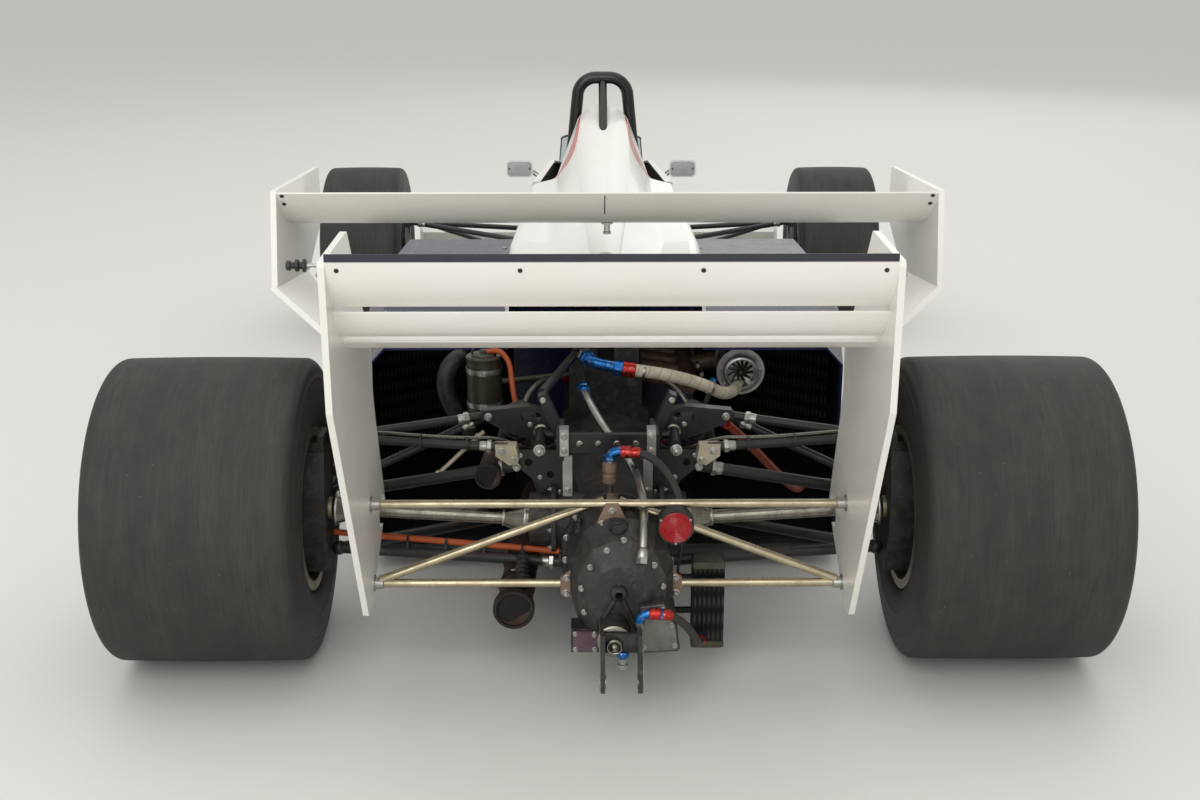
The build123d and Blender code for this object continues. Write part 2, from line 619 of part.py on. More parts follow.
# ahead, height
EAR_OUTLINE = ((-250, 150), (-250, 192), (-346, 192), (-410, 150), (-414, 104), (-396, 90), (-378, 102), (-342, 150))
EAR_HOLE = (-396.0, 116.0)
EAR_HOLE_RADIUS = 9.0
with BuildPart() as gearbox:
    for forward, middle, half, bottom, top in GEARBOX_SECTIONS:
        rise = top - bottom
        flank = ((half * 0.76, bottom), (half, top - rise * 0.62), (half, top - rise * 0.36),
                 (half * 0.7, top - rise * 0.09), (half * 0.22, top))
        with BuildSketch(station(forward)):
            Polygon(*[(middle + x, z) for x, z in flank], *[(middle - x, z) for x, z in reversed(flank)],
                    align=None)
            fillet(vertices(), GEARBOX_ROUND)
    loft(ruled=True)
    add_bar(point(-OUTPUT_HALF, 0, SHAFT_INNER[2]), point(OUTPUT_HALF, 0, SHAFT_INNER[2]), OUTPUT_RADIUS)
    with BuildSketch(station(-276)):
        Polygon(*SIDE_CASING, align=None)
        fillet(vertices(), 8)
    extrude(amount=120)
    pump_across, pump_heights, pump_ahead = PUMP_BODY
    with BuildSketch(station(pump_ahead[1])):
        Polygon((pump_across[0], pump_heights[0]), (pump_across[1], pump_heights[0]),
                (pump_across[1], pump_heights[1]), (pump_across[0], pump_heights[1]), align=None)
    extrude(amount=pump_ahead[0] - pump_ahead[1])
    for end in RIB_ENDS:
        add_bar(point(*RIB_FORK), point(*end), RIB_RADIUS)
    add_ball(point(*RIB_FORK), RIB_RADIUS * 3)
    # the boss behind the tail, and the plate that ties the jacking ears
    add_bar(point(SNOUT_AT[0], -230, SNOUT_AT[1]), point(SNOUT_AT[0], -318, SNOUT_AT[1]), SNOUT_RADIUS)
    add_bar(point(SNOUT_AT[0], -300, SNOUT_AT[1]), point(SNOUT_AT[0], -346, SNOUT_AT[1]), SNOUT_RADIUS / 2)
    with BuildSketch(station(-338)):
        Polygon((EAR_PLACES[1] - EAR_THICKNESS, 150), (EAR_PLACES[0], 150), (EAR_PLACES[0], 190),
                (EAR_PLACES[1] - EAR_THICKNESS, 190), align=None)
    extrude(amount=EAR_THICKNESS)
    for face in EAR_PLACES:
        with BuildSketch(side_view(face)):
            Polygon(*EAR_OUTLINE, align=None)
        extrude(amount=EAR_THICKNESS)
        with BuildSketch(side_view(face)):
            with Locations(EAR_HOLE):
                Circle(EAR_HOLE_RADIUS)
        extrude(amount=EAR_THICKNESS, mode=Mode.SUBTRACT)
    add_bar(point(RIB_FORK[0], -300, RIB_FORK[2]), point(RIB_FORK[0], -240, RIB_FORK[2]), RIB_RADIUS * 1.4,
            mode=Mode.SUBTRACT)
save(gearbox.part, "gearbox")

# the gear oil cooler beside the gearbox's tail, and the arms that hold it
OIL_COOLER = ((-176, -244), (72, 268), (-122, -162))  # its spans across, in height and ahead
OIL_COOLER_ARMS = (150.0, 226.0)  # their heights
with BuildPart() as coolers:
    add(radiators.part)
    across, heights, stations = OIL_COOLER
    with BuildSketch(station(stations[1])):
        Polygon((across[0], heights[0]), (across[1], heights[0]), (across[1], heights[1]),
                (across[0], heights[1]), align=None)
    extrude(amount=stations[0] - stations[1])
    for height in OIL_COOLER_ARMS:
        add_bar(point(across[0] - 5, -142, height), point(-60, -142, height), 7)
    cut_clear(gearbox)
save(coolers.part, "coolers")

TURBO_AT = (-333.0, 520.0, 481.0)  # across, ahead, height of the compressor's middle
TURBO_RADIUS = 58.0
TURBO_EYE = 34.0
with BuildPart() as turbocharger:
    mouth = point(*TURBO_AT)
    with BuildSketch(Plane(origin=mouth + Vector(0, 30, 0), z_dir=(0, -1, 0))):
        Circle(TURBO_RADIUS - 16)
        Circle(TURBO_EYE, mode=Mode.SUBTRACT)
    extrude(amount=40)
    with BuildSketch(Plane(origin=mouth, z_dir=(0, -1, 0))):
        Circle(TURBO_RADIUS)
    extrude(amount=52)
    with BuildSketch(Plane(origin=mouth - Vector(0, 52, 0), z_dir=(0, -1, 0))):
        Circle(TURBO_RADIUS * 0.55)
    extrude(amount=60)
    with BuildSketch(Plane(origin=mouth - Vector(0, 112, 0), z_dir=(0, -1, 0))):
        Circle(TURBO_RADIUS * 0.92)
    extrude(amount=50)
save(turbocharger.part, "turbocharger")

MANIFOLD_RADIUS = 19.0
COLLECTOR_RADIUS = 25.0
COLLECTOR_AT = (-204.0, 452.0)  # across, height
EXHAUST_RADIUS = 37.0
EXHAUST_MOUTH = (200.0, -150.0, 157.0)
EXHAUST_LIP = 42.0
WASTEGATE_RADIUS = 26.0
WASTEGATE_MOUTH = (258.0, 0.0, 400.0)
PIPE_WALL = 3.0
MOUTH_DEPTH = 70.0
with BuildPart() as exhaust_pipes:
    turbine_at = TURBO_AT[1] + 137
    for forward in (520, 600, 680, 760):
        add_bar(point(-HEAD_HALF, forward, 470), point(COLLECTOR_AT[0], forward, COLLECTOR_AT[1]), MANIFOLD_RADIUS)
    add_bar(point(COLLECTOR_AT[0], 500, COLLECTOR_AT[1]), point(COLLECTOR_AT[0], 780, COLLECTOR_AT[1]),
            COLLECTOR_RADIUS)
    add_bar(point(COLLECTOR_AT[0], turbine_at, COLLECTOR_AT[1]), point(TURBO_AT[0], turbine_at, TURBO_AT[2]),
            MANIFOLD_RADIUS + 2)
    add_pipe((point(ENGINE_HALF - 50, 560, 180), point(170, 500, 168), point(190, 300, 140),
              point(*EXHAUST_MOUTH)), 50, EXHAUST_RADIUS)
    add_bar(point(*EXHAUST_MOUTH), point(EXHAUST_MOUTH[0], EXHAUST_MOUTH[1] + 12, EXHAUST_MOUTH[2]), EXHAUST_LIP)
    add_pipe((point(ENGINE_HALF - 50, 500, 340), point(180, 430, 344), point(250, 160, 396),
              point(*WASTEGATE_MOUTH)), 50, WASTEGATE_RADIUS)
    for mouth, radius in ((EXHAUST_MOUTH, EXHAUST_RADIUS), (WASTEGATE_MOUTH, WASTEGATE_RADIUS)):
        add_bar(point(*mouth), point(mouth[0], mouth[1] + MOUTH_DEPTH, mouth[2] - 2), radius - PIPE_WALL,
                mode=Mode.SUBTRACT)
    cut_clear(engine, gearbox, turbocharger)
save(exhaust_pipes.part, "exhaust_pipes")

TANK_AT = (290.0, 400.0)
TANK_RADIUS = 42.0
TANK_LOW, TANK_HIGH = 413.0, 556.0
with BuildPart() as catch_tank:
    with BuildSketch(Plane(origin=point(*TANK_AT, TANK_LOW))):
        Circle(TANK_RADIUS)
    extrude(amount=TANK_HIGH - TANK_LOW)
    fillet(edges().filter_by(GeomType.CIRCLE), 8)
    add_bar(point(*TANK_AT, 486), point(HEAD_HALF, 470, 486), 8)
    cut_clear(engine)
save(catch_tank.part, "catch_tank")

# each hose: radius, bend, then points across, ahead and high
HOSES = (
    (15, 30, ((55, 450, 556), (55, 325, 566), (-30, 322, 545), (-130, 326, 532), (-225, 352, 500),
              (-300, 405, 446), (-333, 540, 440))),
    (9.5, 26, ((62, 450, 500), (62, 305, 512), (0, 130, 452), (-48, 10, 434), (-73, -140, 409.7),
               (-72, -181, 385.4), (-71, -224, 372), (-67, -262, 312))),
    (7, 20, ((600, 22, 262), (500, 0, 262), (240, -24, 248), (90, -46, 243))),
)
with BuildPart() as hoses:
    for radius, bend, stops in HOSES:
        add_pipe([point(*stop) for stop in stops], bend, radius)
    cut_clear(engine, gearbox, turbocharger)
save(hoses.part, "hoses")

# ================================================================ uprights
CALIPER_SPREAD = 46.0  # degrees
CALIPER_WALL = 7.0
HORN_DEPTH = 12.0
HORN_HALF = 30.0
UPRIGHT_HALF = 60.0
UPRIGHT_REACH = 140.0  # from the axle, inside the rim
CALIPER_INNER = 96.0


def add_upright(side, track, forward, height, inner, depth, low, high, brake_at):
    """Add an upright with its bearing bore, its horns and a caliper that straddles the disc."""
    middle = Vector(side * track / 2, ahead(forward), height)
    inner_face = Plane(origin=(side * inner, middle.Y, height), x_dir=(0, side, 0), z_dir=(side, 0, 0))
    front = -side  # the sketch's own direction towards the nose
    with BuildSketch(inner_face) as casting:
        Polygon((-HORN_HALF, -UPRIGHT_REACH), (HORN_HALF, -UPRIGHT_REACH), (UPRIGHT_HALF, -44),
                (UPRIGHT_HALF, 44), (HORN_HALF, UPRIGHT_REACH), (-HORN_HALF, UPRIGHT_REACH),
                (-UPRIGHT_HALF, 44), (-UPRIGHT_HALF, -44), align=None)
        fillet(vertices(), 8)
        with Locations((front * CALIPER_INNER * 0.6, 0)):
            Rectangle(CALIPER_INNER * 1.2, 2 * HORN_HALF)
    extrude(casting.sketch, amount=depth)
    with BuildSketch(inner_face) as horns:
        Polygon((-HORN_HALF, low - height), (HORN_HALF, low - height), (HORN_HALF, high - height),
                (-HORN_HALF, high - height), align=None)
    extrude(horns.sketch, amount=HORN_DEPTH)
    with BuildSketch(inner_face) as bearing:
        Circle(STUB_RADIUS + RUNNING_FIT)
    extrude(bearing.sketch, amount=depth, mode=Mode.SUBTRACT)
    start = inner + depth - track / 2 - 20
    reach = BRAKE_RADIUS + MOVING_GAP
    disc_in = brake_at - MOVING_GAP
    disc_out = brake_at + BRAKE_THICKNESS + MOVING_GAP
    lift = math.radians(CALIPER_SPREAD / 2)
    radial = Vector(0, -math.cos(lift), math.sin(lift))
    with BuildSketch(Plane(origin=middle, x_dir=(side, 0, 0), z_dir=Vector(side, 0, 0).cross(radial))) as caliper:
        Polygon((start, CALIPER_INNER), (disc_in, CALIPER_INNER), (disc_in, reach), (disc_out, reach),
                (disc_out, CALIPER_INNER + 16), (disc_out + 18, CALIPER_INNER + 16),
                (disc_out + 18, reach + CALIPER_WALL), (start, reach + CALIPER_WALL), align=None)
    revolve(caliper.sketch, axis=Axis(middle, (1, 0, 0)), revolution_arc=CALIPER_SPREAD)


with BuildPart() as rear_uprights:
    for side in (LEFT, RIGHT):
        add_upright(side, REAR_TRACK, 0, REAR_TYRE_RADIUS, REAR_UPRIGHT_INNER, REAR_UPRIGHT_DEPTH,
                    REAR_LOWER_JOINT[2] - 16, REAR_UPPER_JOINT[2] + 14, REAR_BRAKE_AT)
save(rear_uprights.part, "rear_uprights")

BALL_RADIUS = 14.0
LUG_HALF = 18.0
LUG_OFFSET = 3.0  # the lug's inboard face lies outboard of the ball's middle
ARM_PLATE = 14.0
EYE_THICKNESS = 14.0
RACK_AT = WHEELBASE - STEERING_ARM
for side, word in ((LEFT, "left"), (RIGHT, "right")):
    with BuildPart() as front_upright:
        add_upright(side, FRONT_TRACK, WHEELBASE, FRONT_TYRE_RADIUS, FRONT_UPRIGHT_INNER,
                    FRONT_UPRIGHT_DEPTH, FRONT_TYRE_RADIUS - 20, FRONT_TYRE_RADIUS + 20, FRONT_BRAKE_AT)
        for across, height in (KINGPIN_LOWER, KINGPIN_UPPER):
            lug_face = Plane(origin=(side * (across + LUG_OFFSET), ahead(WHEELBASE), height),
                             x_dir=(0, side, 0), z_dir=(side, 0, 0))
            with BuildSketch(lug_face):
                RectangleRounded(2 * LUG_HALF, 2 * LUG_HALF, 6)
            extrude(amount=FRONT_UPRIGHT_INNER + 10 - across - LUG_OFFSET)
            with Locations(point(side * across, WHEELBASE, height)):
                Sphere(BALL_RADIUS + RUNNING_FIT, rotation=(0, 0, 180 if side > 0 else 0), mode=Mode.SUBTRACT)
        arm_top = STEERING_ARM_HEIGHT - EYE_THICKNESS / 2 - MOVING_GAP + 1
        with BuildSketch(Plane.XY.offset(arm_top - ARM_PLATE)):
            Polygon((side * (FRONT_UPRIGHT_INNER + 2), ahead(WHEELBASE) + 30),
                    (side * (FRONT_UPRIGHT_INNER + 26), ahead(WHEELBASE) + 30),
                    (side * (KINGPIN_LOWER[0] + 14), ahead(RACK_AT) + 12),
                    (side * (KINGPIN_LOWER[0] - 14), ahead(RACK_AT) + 12), align=None)
        extrude(amount=ARM_PLATE)
        add_bar(point(side * KINGPIN_LOWER[0], RACK_AT, arm_top - 1),
                point(side * KINGPIN_LOWER[0], RACK_AT, STEERING_ARM_HEIGHT + EYE_THICKNESS), TRACK_ROD_PIN)
    save(front_upright.part, f"front_upright_{word}")

TRACK_ROD_RADIUS = 8.0
with BuildPart() as steering_rack:
    reach = KINGPIN_LOWER[0]
    add_bar(point(-260, RACK_AT, STEERING_ARM_HEIGHT), point(260, RACK_AT, STEERING_ARM_HEIGHT), RACK_RADIUS)
    add_bar(point(-reach, RACK_AT, STEERING_ARM_HEIGHT), point(reach, RACK_AT, STEERING_ARM_HEIGHT),
            TRACK_ROD_RADIUS)
    for side in (LEFT, RIGHT):
        eye = point(side * reach, RACK_AT, STEERING_ARM_HEIGHT - EYE_THICKNESS / 2)
        add_bar(eye, eye + Vector(0, 0, EYE_THICKNESS), TRACK_ROD_EYE)
        add_bar(eye - Vector(0, 0, 5), eye + Vector(0, 0, EYE_THICKNESS + 5), TRACK_ROD_HOLE, mode=Mode.SUBTRACT)
save(steering_rack.part, "steering_rack")

# ================================================================ suspension links
# start and end, each across, ahead and high, then the radius; each is mirrored to the other side
REAR_LINKS = (
    (REAR_UPPER_JOINT, (214, -10, 470), UPPER_ARM_RADIUS),
    (REAR_UPPER_JOINT, (272, 112, 500), UPPER_ARM_RADIUS),
    (REAR_UPPER_JOINT, (262, 250, 452), UPPER_ARM_RADIUS * 0.6),
    (REAR_LOWER_JOINT, (80, -50, 220), LOWER_ARM_RADIUS),
    (REAR_LOWER_JOINT, (100, 300, 212), LOWER_ARM_RADIUS),
    ((REAR_UPRIGHT_INNER - 1, 84, 328), (196, 40, 410), LOWER_ARM_RADIUS + 1),  # the toe link
)
PUSH_ROD = ((REAR_UPRIGHT_INNER - 1, 52, 356), (270, 112, 498), 9)
FRONT_LINKS = (
    ((KINGPIN_UPPER[0], WHEELBASE, KINGPIN_UPPER[1]), (120, WHEELBASE - 160, 326), 10),
    ((KINGPIN_UPPER[0], WHEELBASE, KINGPIN_UPPER[1]), (120, WHEELBASE + 170, 326), 10),
    ((KINGPIN_LOWER[0], WHEELBASE, KINGPIN_LOWER[1]), (130, WHEELBASE - 190, 134), 11),
    ((KINGPIN_LOWER[0], WHEELBASE, KINGPIN_LOWER[1]), (130, WHEELBASE + 190, 134), 11),
    ((KINGPIN_UPPER[0] - 26, WHEELBASE + 4, 398), (130, WHEELBASE + 10, 214), 8),
)

# the frame that carries the rockers, on top of the gearbox
ROCKER_AT = 112.0  # ahead
ROCKER_THICKNESS = 26.0
# across and height of the left pieces' outlines, seen from behind
ROCKER_OUTLINE = ((284, 502), (274, 516), (172, 526), (128, 512), (124, 476), (152, 444), (209, 461), (251, 482))
ROCKER_SLOT = (168.0, 502.0, 46.0, 20.0)  # across, height, length and width
ROCKER_PIN = (146.0, 468.0)
BRACKET_OUTLINE = ((152, 560), (134, 568), (96, 484), (92, 436), (114, 436), (120, 478))
BRACKET_AHEAD = (62.0, 92.0)
SIDE_WALL = ((94, 110), (440, 500))  # its spans across and in height, from the cross bar to the bracket
CROSS_BAR = (-16.0, 459.0, 500.0)  # ahead, bottom, top
CROSS_BAR_HALF = 100.0
CROSS_BAR_DEPTH = 16.0
CLAMP = ((84, 102), (455, 514), (-26, 4))  # its spans across, in height and ahead
LEG = ((77, 96), (330, 456), (-12, 4))
PLATE_OUTLINE = ((204, 456), (94, 456), (94, 349), (122, 357), (194, 420))
PLATE_AHEAD = (4.0, 14.0)
PLATE_HOLES = ((170, 430, 9), (124, 402, 8))  # across, height, radius
CLEVIS_OUTLINE = ((240, 478), (195, 478), (190, 448), (193, 438), (210, 433), (240, 455))
CLEVIS_AHEAD = (-24.0, 6.0)
TOE_PIN = ((196, 410), (-4, 62), 8.0)  # across and height, its span ahead, its radius
BRACE = ((142, 92, 560), (64, 450, 556), 10.0)  # the left bracket's strut, to the engine
with BuildPart() as rear_rockers:
    for side in (LEFT, RIGHT):
        for outline, low, high in ((ROCKER_OUTLINE, ROCKER_AT - ROCKER_THICKNESS / 2, ROCKER_AT + ROCKER_THICKNESS / 2),
                                   (BRACKET_OUTLINE, *BRACKET_AHEAD), (PLATE_OUTLINE, *PLATE_AHEAD),
                                   (CLEVIS_OUTLINE, *CLEVIS_AHEAD)):
            with BuildSketch(station(low)) as face:
                Polygon(*[(side * x, z) for x, z in outline], align=None)
                fillet(vertices(), 3)
            extrude(face.sketch, amount=high - low)
        for (inner, outer), (low, high), (rear, front) in ((*SIDE_WALL, (CROSS_BAR[0], BRACKET_AHEAD[1])), CLAMP, LEG):
            with BuildSketch(station(rear)) as face:
                Polygon((side * inner, low), (side * outer, low), (side * outer, high), (side * inner, high),
                        align=None)
            extrude(face.sketch, amount=front - rear)
        with BuildSketch(station(ROCKER_AT - ROCKER_THICKNESS)) as window:
            with Locations((side * ROCKER_SLOT[0], ROCKER_SLOT[1])):
                SlotOverall(ROCKER_SLOT[2], ROCKER_SLOT[3])
        extrude(window.sketch, amount=2 * ROCKER_THICKNESS, mode=Mode.SUBTRACT)
        for across, height, radius in PLATE_HOLES:
            add_bar(point(side * across, PLATE_AHEAD[0] - 2, height), point(side * across, PLATE_AHEAD[1] + 2, height),
                    radius, mode=Mode.SUBTRACT)
        add_bar(point(side * ROCKER_PIN[0], CLEVIS_AHEAD[1], ROCKER_PIN[1]),
                point(side * ROCKER_PIN[0], ROCKER_AT + 18, ROCKER_PIN[1]), 12)
        add_bar(point(side * ROCKER_PIN[0], BRACKET_AHEAD[0] + 15, ROCKER_PIN[1]),
                point(side * (SIDE_WALL[0][0] + 2), BRACKET_AHEAD[0] + 15, ROCKER_PIN[1]), 11)
        (across, height), (rear, front), radius = TOE_PIN
        add_bar(point(side * across, rear, height + 12), point(side * across, front, height + 12), radius)
    with BuildSketch(station(CROSS_BAR[0])) as face:
        Polygon((-CROSS_BAR_HALF, CROSS_BAR[1]), (CROSS_BAR_HALF, CROSS_BAR[1]), (CROSS_BAR_HALF, CROSS_BAR[2]),
                (-CROSS_BAR_HALF, CROSS_BAR[2]), align=None)
        fillet(vertices(), 6)
    extrude(face.sketch, amount=CROSS_BAR_DEPTH)
    add_bar(point(*BRACE[0]), point(*BRACE[1]), BRACE[2])
    cut_clear(gearbox, engine, hoses)
save(rear_rockers.part, "rear_rockers")

DAMPER_RADIUS = 26.0
with BuildPart() as rear_dampers:
    for side in (LEFT, RIGHT):
        add_bar(point(side * 190, 150, 500), point(side * 232, 330, 330), DAMPER_RADIUS)
        add_bar(point(side * 232, 330, 330), point(side * 110, 380, 250), 10)
    cut_clear(rear_rockers, gearbox, engine, exhaust_pipes)
save(rear_dampers.part, "rear_dampers")

with BuildPart() as rear_wishbones:
    for side in (LEFT, RIGHT):
        for start, end, radius in (*REAR_LINKS, PUSH_ROD):
            add_bar(point(side * start[0], *start[1:]), point(side * end[0], *end[1:]), radius)
        for joint in (REAR_UPPER_JOINT, REAR_LOWER_JOINT):
            add_ball(point(side * joint[0], *joint[1:]), JOINT_BALL_RADIUS)
    cut_clear(rear_uprights, gearbox, rear_rockers, rear_dampers, exhaust_pipes)
save(rear_wishbones.part, "rear_wishbones")

with BuildPart() as front_wishbones:
    for side in (LEFT, RIGHT):
        for start, end, radius in FRONT_LINKS:
            add_bar(point(side * start[0], *start[1:]), point(side * end[0], *end[1:]), radius)
        for across, height in (KINGPIN_LOWER, KINGPIN_UPPER):
            add_ball(point(side * across, WHEELBASE, height), BALL_RADIUS)
    cut_clear(monocoque, cavity)
save(front_wishbones.part, "front_wishbones")

# ================================================================ drive shafts
BOOT_LENGTH = 58.0
HUB_END = (HUB_ACROSS - STUB_LEAN, 0.0, REAR_TYRE_RADIUS)
for side, word in ((LEFT, "left"), (RIGHT, "right")):
    inboard = point(side * SHAFT_INNER[0], *SHAFT_INNER[1:])
    outboard = point(side * HUB_END[0], *HUB_END[1:])
    run = outboard - inboard
    along = Plane(origin=inboard, x_dir=run, z_dir=Vector(0, 1, 0))
    sign = 1 if along.y_dir.Z > 0 else -1
    with BuildPart() as driveshaft:
        with BuildSketch(along):
            Polygon((0, 0), (run.length, 0), (run.length, sign * SHAFT_RADIUS * 0.8),
                    (run.length - 6, sign * BOOT_RADIUS), (run.length - BOOT_LENGTH, sign * SHAFT_RADIUS * 1.1),
                    (run.length - BOOT_LENGTH, sign * SHAFT_RADIUS), (BOOT_LENGTH, sign * SHAFT_RADIUS),
                    (BOOT_LENGTH, sign * SHAFT_RADIUS * 1.1), (6, sign * BOOT_RADIUS),
                    (0, sign * BOOT_RADIUS), align=None)
        revolve(axis=Axis(inboard, run))
    save(driveshaft.part, f"driveshaft_{word}")

# ================================================================ rear wings
# ahead, height
PLATE_OUTLINE_REAR = ((-560, 1000), (-554, 725), (-266, 196), (-212, 196), (-43, 277), (44, 322), (5, 420),
                      (-46, 540), (-69, 618), (-60, 700), (-300, 1000))
SHAFT_SLOT = (-14.0, 328.0, 90.0, 66.0)  # ahead, height, length and width, round the drive shaft
with BuildPart() as rear_wing_plates:
    for face in (REAR_WING_HALF, PLATE_THICKNESS - REAR_WING_HALF):
        with BuildSketch(side_view(face)):
            Polygon(*PLATE_OUTLINE_REAR, align=None)
            fillet(vertices(), 12)
            with Locations(SHAFT_SLOT[:2]):
                SlotOverall(*SHAFT_SLOT[2:], mode=Mode.SUBTRACT)
        extrude(amount=PLATE_THICKNESS)
save(rear_wing_plates.part, "rear_wing_plates")

REAR_SPAN = 2 * (REAR_WING_HALF - PLATE_THICKNESS)
# nose and tail of each element, each ahead and high, then camber and thickness
REAR_ELEMENTS = (
    ((-96, 780), (-404, 818), 16, 34),
    ((-398, 830), (-497, 897), 12, 14),
    ((-486, 906), (-556, 1000), 11, 12),
)
with BuildPart() as rear_wing_plane:
    for nose, tail, camber, thickness in REAR_ELEMENTS:
        with BuildSketch(side_view(REAR_SPAN / 2)):
            aerofoil(nose, tail, camber, thickness)
        extrude(amount=REAR_SPAN)
save(rear_wing_plane.part, "rear_wing_plane")

GURNEY_THICKNESS = 3.0
with BuildPart() as gurney_strip:
    with BuildSketch(side_view(REAR_SPAN / 2)):
        tail = REAR_ELEMENTS[-1][1]
        Polygon(tail, (tail[0] - GURNEY_THICKNESS, tail[1]),
                (tail[0] - GURNEY_THICKNESS, tail[1] + GURNEY_HEIGHT), (tail[0], tail[1] + GURNEY_HEIGHT),
                align=None)
    extrude(amount=REAR_SPAN)
save(gurney_strip.part, "gurney_strip")

FORWARD_SPAN = 2 * (FORWARD_WING_HALF - PLATE_THICKNESS)
with BuildPart() as forward_wing_plane:
    with BuildSketch(side_view(FORWARD_SPAN / 2)):
        aerofoil((372, 936), (54, 1008), 40, 36)
    extrude(amount=FORWARD_SPAN)
save(forward_wing_plane.part, "forward_wing_plane")

FORWARD_PLATE_OUTLINE = ((60, 1010), (14, 817), (388, 768), (586, 856), (572, 976))
LOWER_PANEL_FOOT = (-160.0, 700.0)  # ahead and height where the canted panel meets the rear plates
LOWER_PANEL_SHARE = 0.3  # length of its foot against its crease
with BuildPart() as forward_wing_plates:
    for side in (LEFT, RIGHT):
        with BuildSketch(side_view(side * FORWARD_WING_HALF - (0 if side > 0 else -PLATE_THICKNESS))):
            Polygon(*FORWARD_PLATE_OUTLINE, align=None)
            fillet(vertices().group_by(Axis.Y)[0], 24)
        extrude(amount=PLATE_THICKNESS)
        rear_crease = point(side * FORWARD_WING_HALF, *FORWARD_PLATE_OUTLINE[1])
        front_crease = point(side * FORWARD_WING_HALF, *FORWARD_PLATE_OUTLINE[2])
        rear_foot = point(side * REAR_WING_HALF, *LOWER_PANEL_FOOT)
        front_foot = rear_foot + (front_crease - rear_crease) * LOWER_PANEL_SHARE
        panel = Plane(origin=rear_crease, x_dir=front_crease - rear_crease,
                      z_dir=(front_crease - rear_crease).cross(rear_foot - rear_crease))
        corners = [panel.to_local_coords(c) for c in (rear_crease, front_crease, front_foot, rear_foot)]
        with BuildSketch(panel):
            Polygon(*[(c.X, c.Y) for c in corners], align=None)
        extrude(amount=PLATE_THICKNESS / 2, both=True)
    cut_clear(forward_wing_plane, rear_wing_plates)
save(forward_wing_plates.part, "forward_wing_plates")

FRAME_AT = -180.0
FRAME_RADIUS = 9.0
FRAME_TOP = 408.0
FRAME_LOW = 231.0
FRAME_APEX = -7.0  # across
BRACE_LEAN = 40.0
with BuildPart() as wing_frame:
    edge = REAR_WING_HALF - PLATE_THICKNESS
    add_bar(point(-edge, FRAME_AT, FRAME_TOP), point(edge, FRAME_AT, FRAME_TOP), FRAME_RADIUS)
    for side in (LEFT, RIGHT):
        add_bar(point(side * edge, FRAME_AT, FRAME_LOW), point(side * 60, FRAME_AT, FRAME_LOW), FRAME_RADIUS)
        # the braces lean ahead, so that the hose to the gearbox's tail passes between them and the top tube
        add_bar(point(side * (edge - 14), FRAME_AT, FRAME_LOW + 8),
                point(FRAME_APEX + side * 16, FRAME_AT + BRACE_LEAN, FRAME_TOP - 8), FRAME_RADIUS)
    with BuildSketch(station(FRAME_AT - 14)):
        Polygon((FRAME_APEX - 34, FRAME_TOP - 46), (FRAME_APEX + 34, FRAME_TOP - 46), (FRAME_APEX + 10, FRAME_TOP + 4),
                (FRAME_APEX - 10, FRAME_TOP + 4), align=None)
    extrude(amount=BRACE_LEAN + 20)
    cut_clear(gearbox)
save(wing_frame.part, "wing_frame")

LAMP_AT = (-136.0, 370.0)  # across, height
LAMP_RADIUS = 38.0
LAMP_DEPTH = 30.0
with BuildPart() as rain_light:
    with BuildSketch(station(FRAME_AT - FRAME_RADIUS - SEAT_GAP)):
        with Locations(LAMP_AT):
            Circle(LAMP_RADIUS)
    extrude(amount=-LAMP_DEPTH, taper=6)
    cut_clear(gearbox)
save(rain_light.part, "rain_light")
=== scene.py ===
"""The finished look of an open wheel racing car of the early turbo years.

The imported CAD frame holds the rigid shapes.  This script gives each of them its finish and adds what a
drawing leaves out: fasteners, trim, tyre wear, padding, belts, hoses and their fittings.  Lengths are
metres in the frame of the CAD: +X is the car's left, +Y its rear and +Z up.
"""
import logging
import math
from collections.abc import Iterator, Sequence
from dataclasses import dataclass
from enum import Enum

import bmesh
import bpy
from mathutils import Matrix, Vector


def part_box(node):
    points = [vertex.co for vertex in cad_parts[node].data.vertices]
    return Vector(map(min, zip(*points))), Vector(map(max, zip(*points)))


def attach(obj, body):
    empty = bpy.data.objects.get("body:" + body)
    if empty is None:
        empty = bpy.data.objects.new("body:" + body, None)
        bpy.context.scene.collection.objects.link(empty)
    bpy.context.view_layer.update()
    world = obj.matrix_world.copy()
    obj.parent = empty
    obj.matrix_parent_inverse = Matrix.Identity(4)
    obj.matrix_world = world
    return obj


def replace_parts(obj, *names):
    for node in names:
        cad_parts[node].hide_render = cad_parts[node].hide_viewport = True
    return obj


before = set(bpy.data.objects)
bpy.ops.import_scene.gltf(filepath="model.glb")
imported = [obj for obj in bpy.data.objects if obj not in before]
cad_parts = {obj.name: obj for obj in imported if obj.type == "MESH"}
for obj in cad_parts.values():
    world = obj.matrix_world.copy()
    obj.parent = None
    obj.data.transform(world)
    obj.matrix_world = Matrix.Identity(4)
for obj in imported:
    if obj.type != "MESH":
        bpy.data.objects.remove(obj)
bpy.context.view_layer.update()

LOG = logging.getLogger("racing_car")
MM = 0.001
CHASSIS = "chassis"
X_AXIS = Vector((1, 0, 0))
Y_AXIS = Vector((0, 1, 0))
Z_AXIS = Vector((0, 0, 1))


class Side(Enum):
    """The two sides of the car, by the sign of X."""

    LEFT = 1
    RIGHT = -1

    @property
    def word(self) -> str:
        """The side's name as the nodes of the frame spell it."""
        return self.name.lower()


class Axle(Enum):
    """The two axles, as the nodes of the frame spell them."""

    FRONT = "front"
    REAR = "rear"

    @property
    def place(self) -> Vector:
        """The middle of the axle, between its two tyres."""
        low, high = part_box(f"{self.value}_tyre_left")
        middle = (low + high) / 2
        return Vector((0, middle.y, middle.z))


def ahead(distance: float) -> float:
    """The Y of a station that lies this many millimetres ahead of the rear axle."""
    return Axle.REAR.place.y - distance * MM


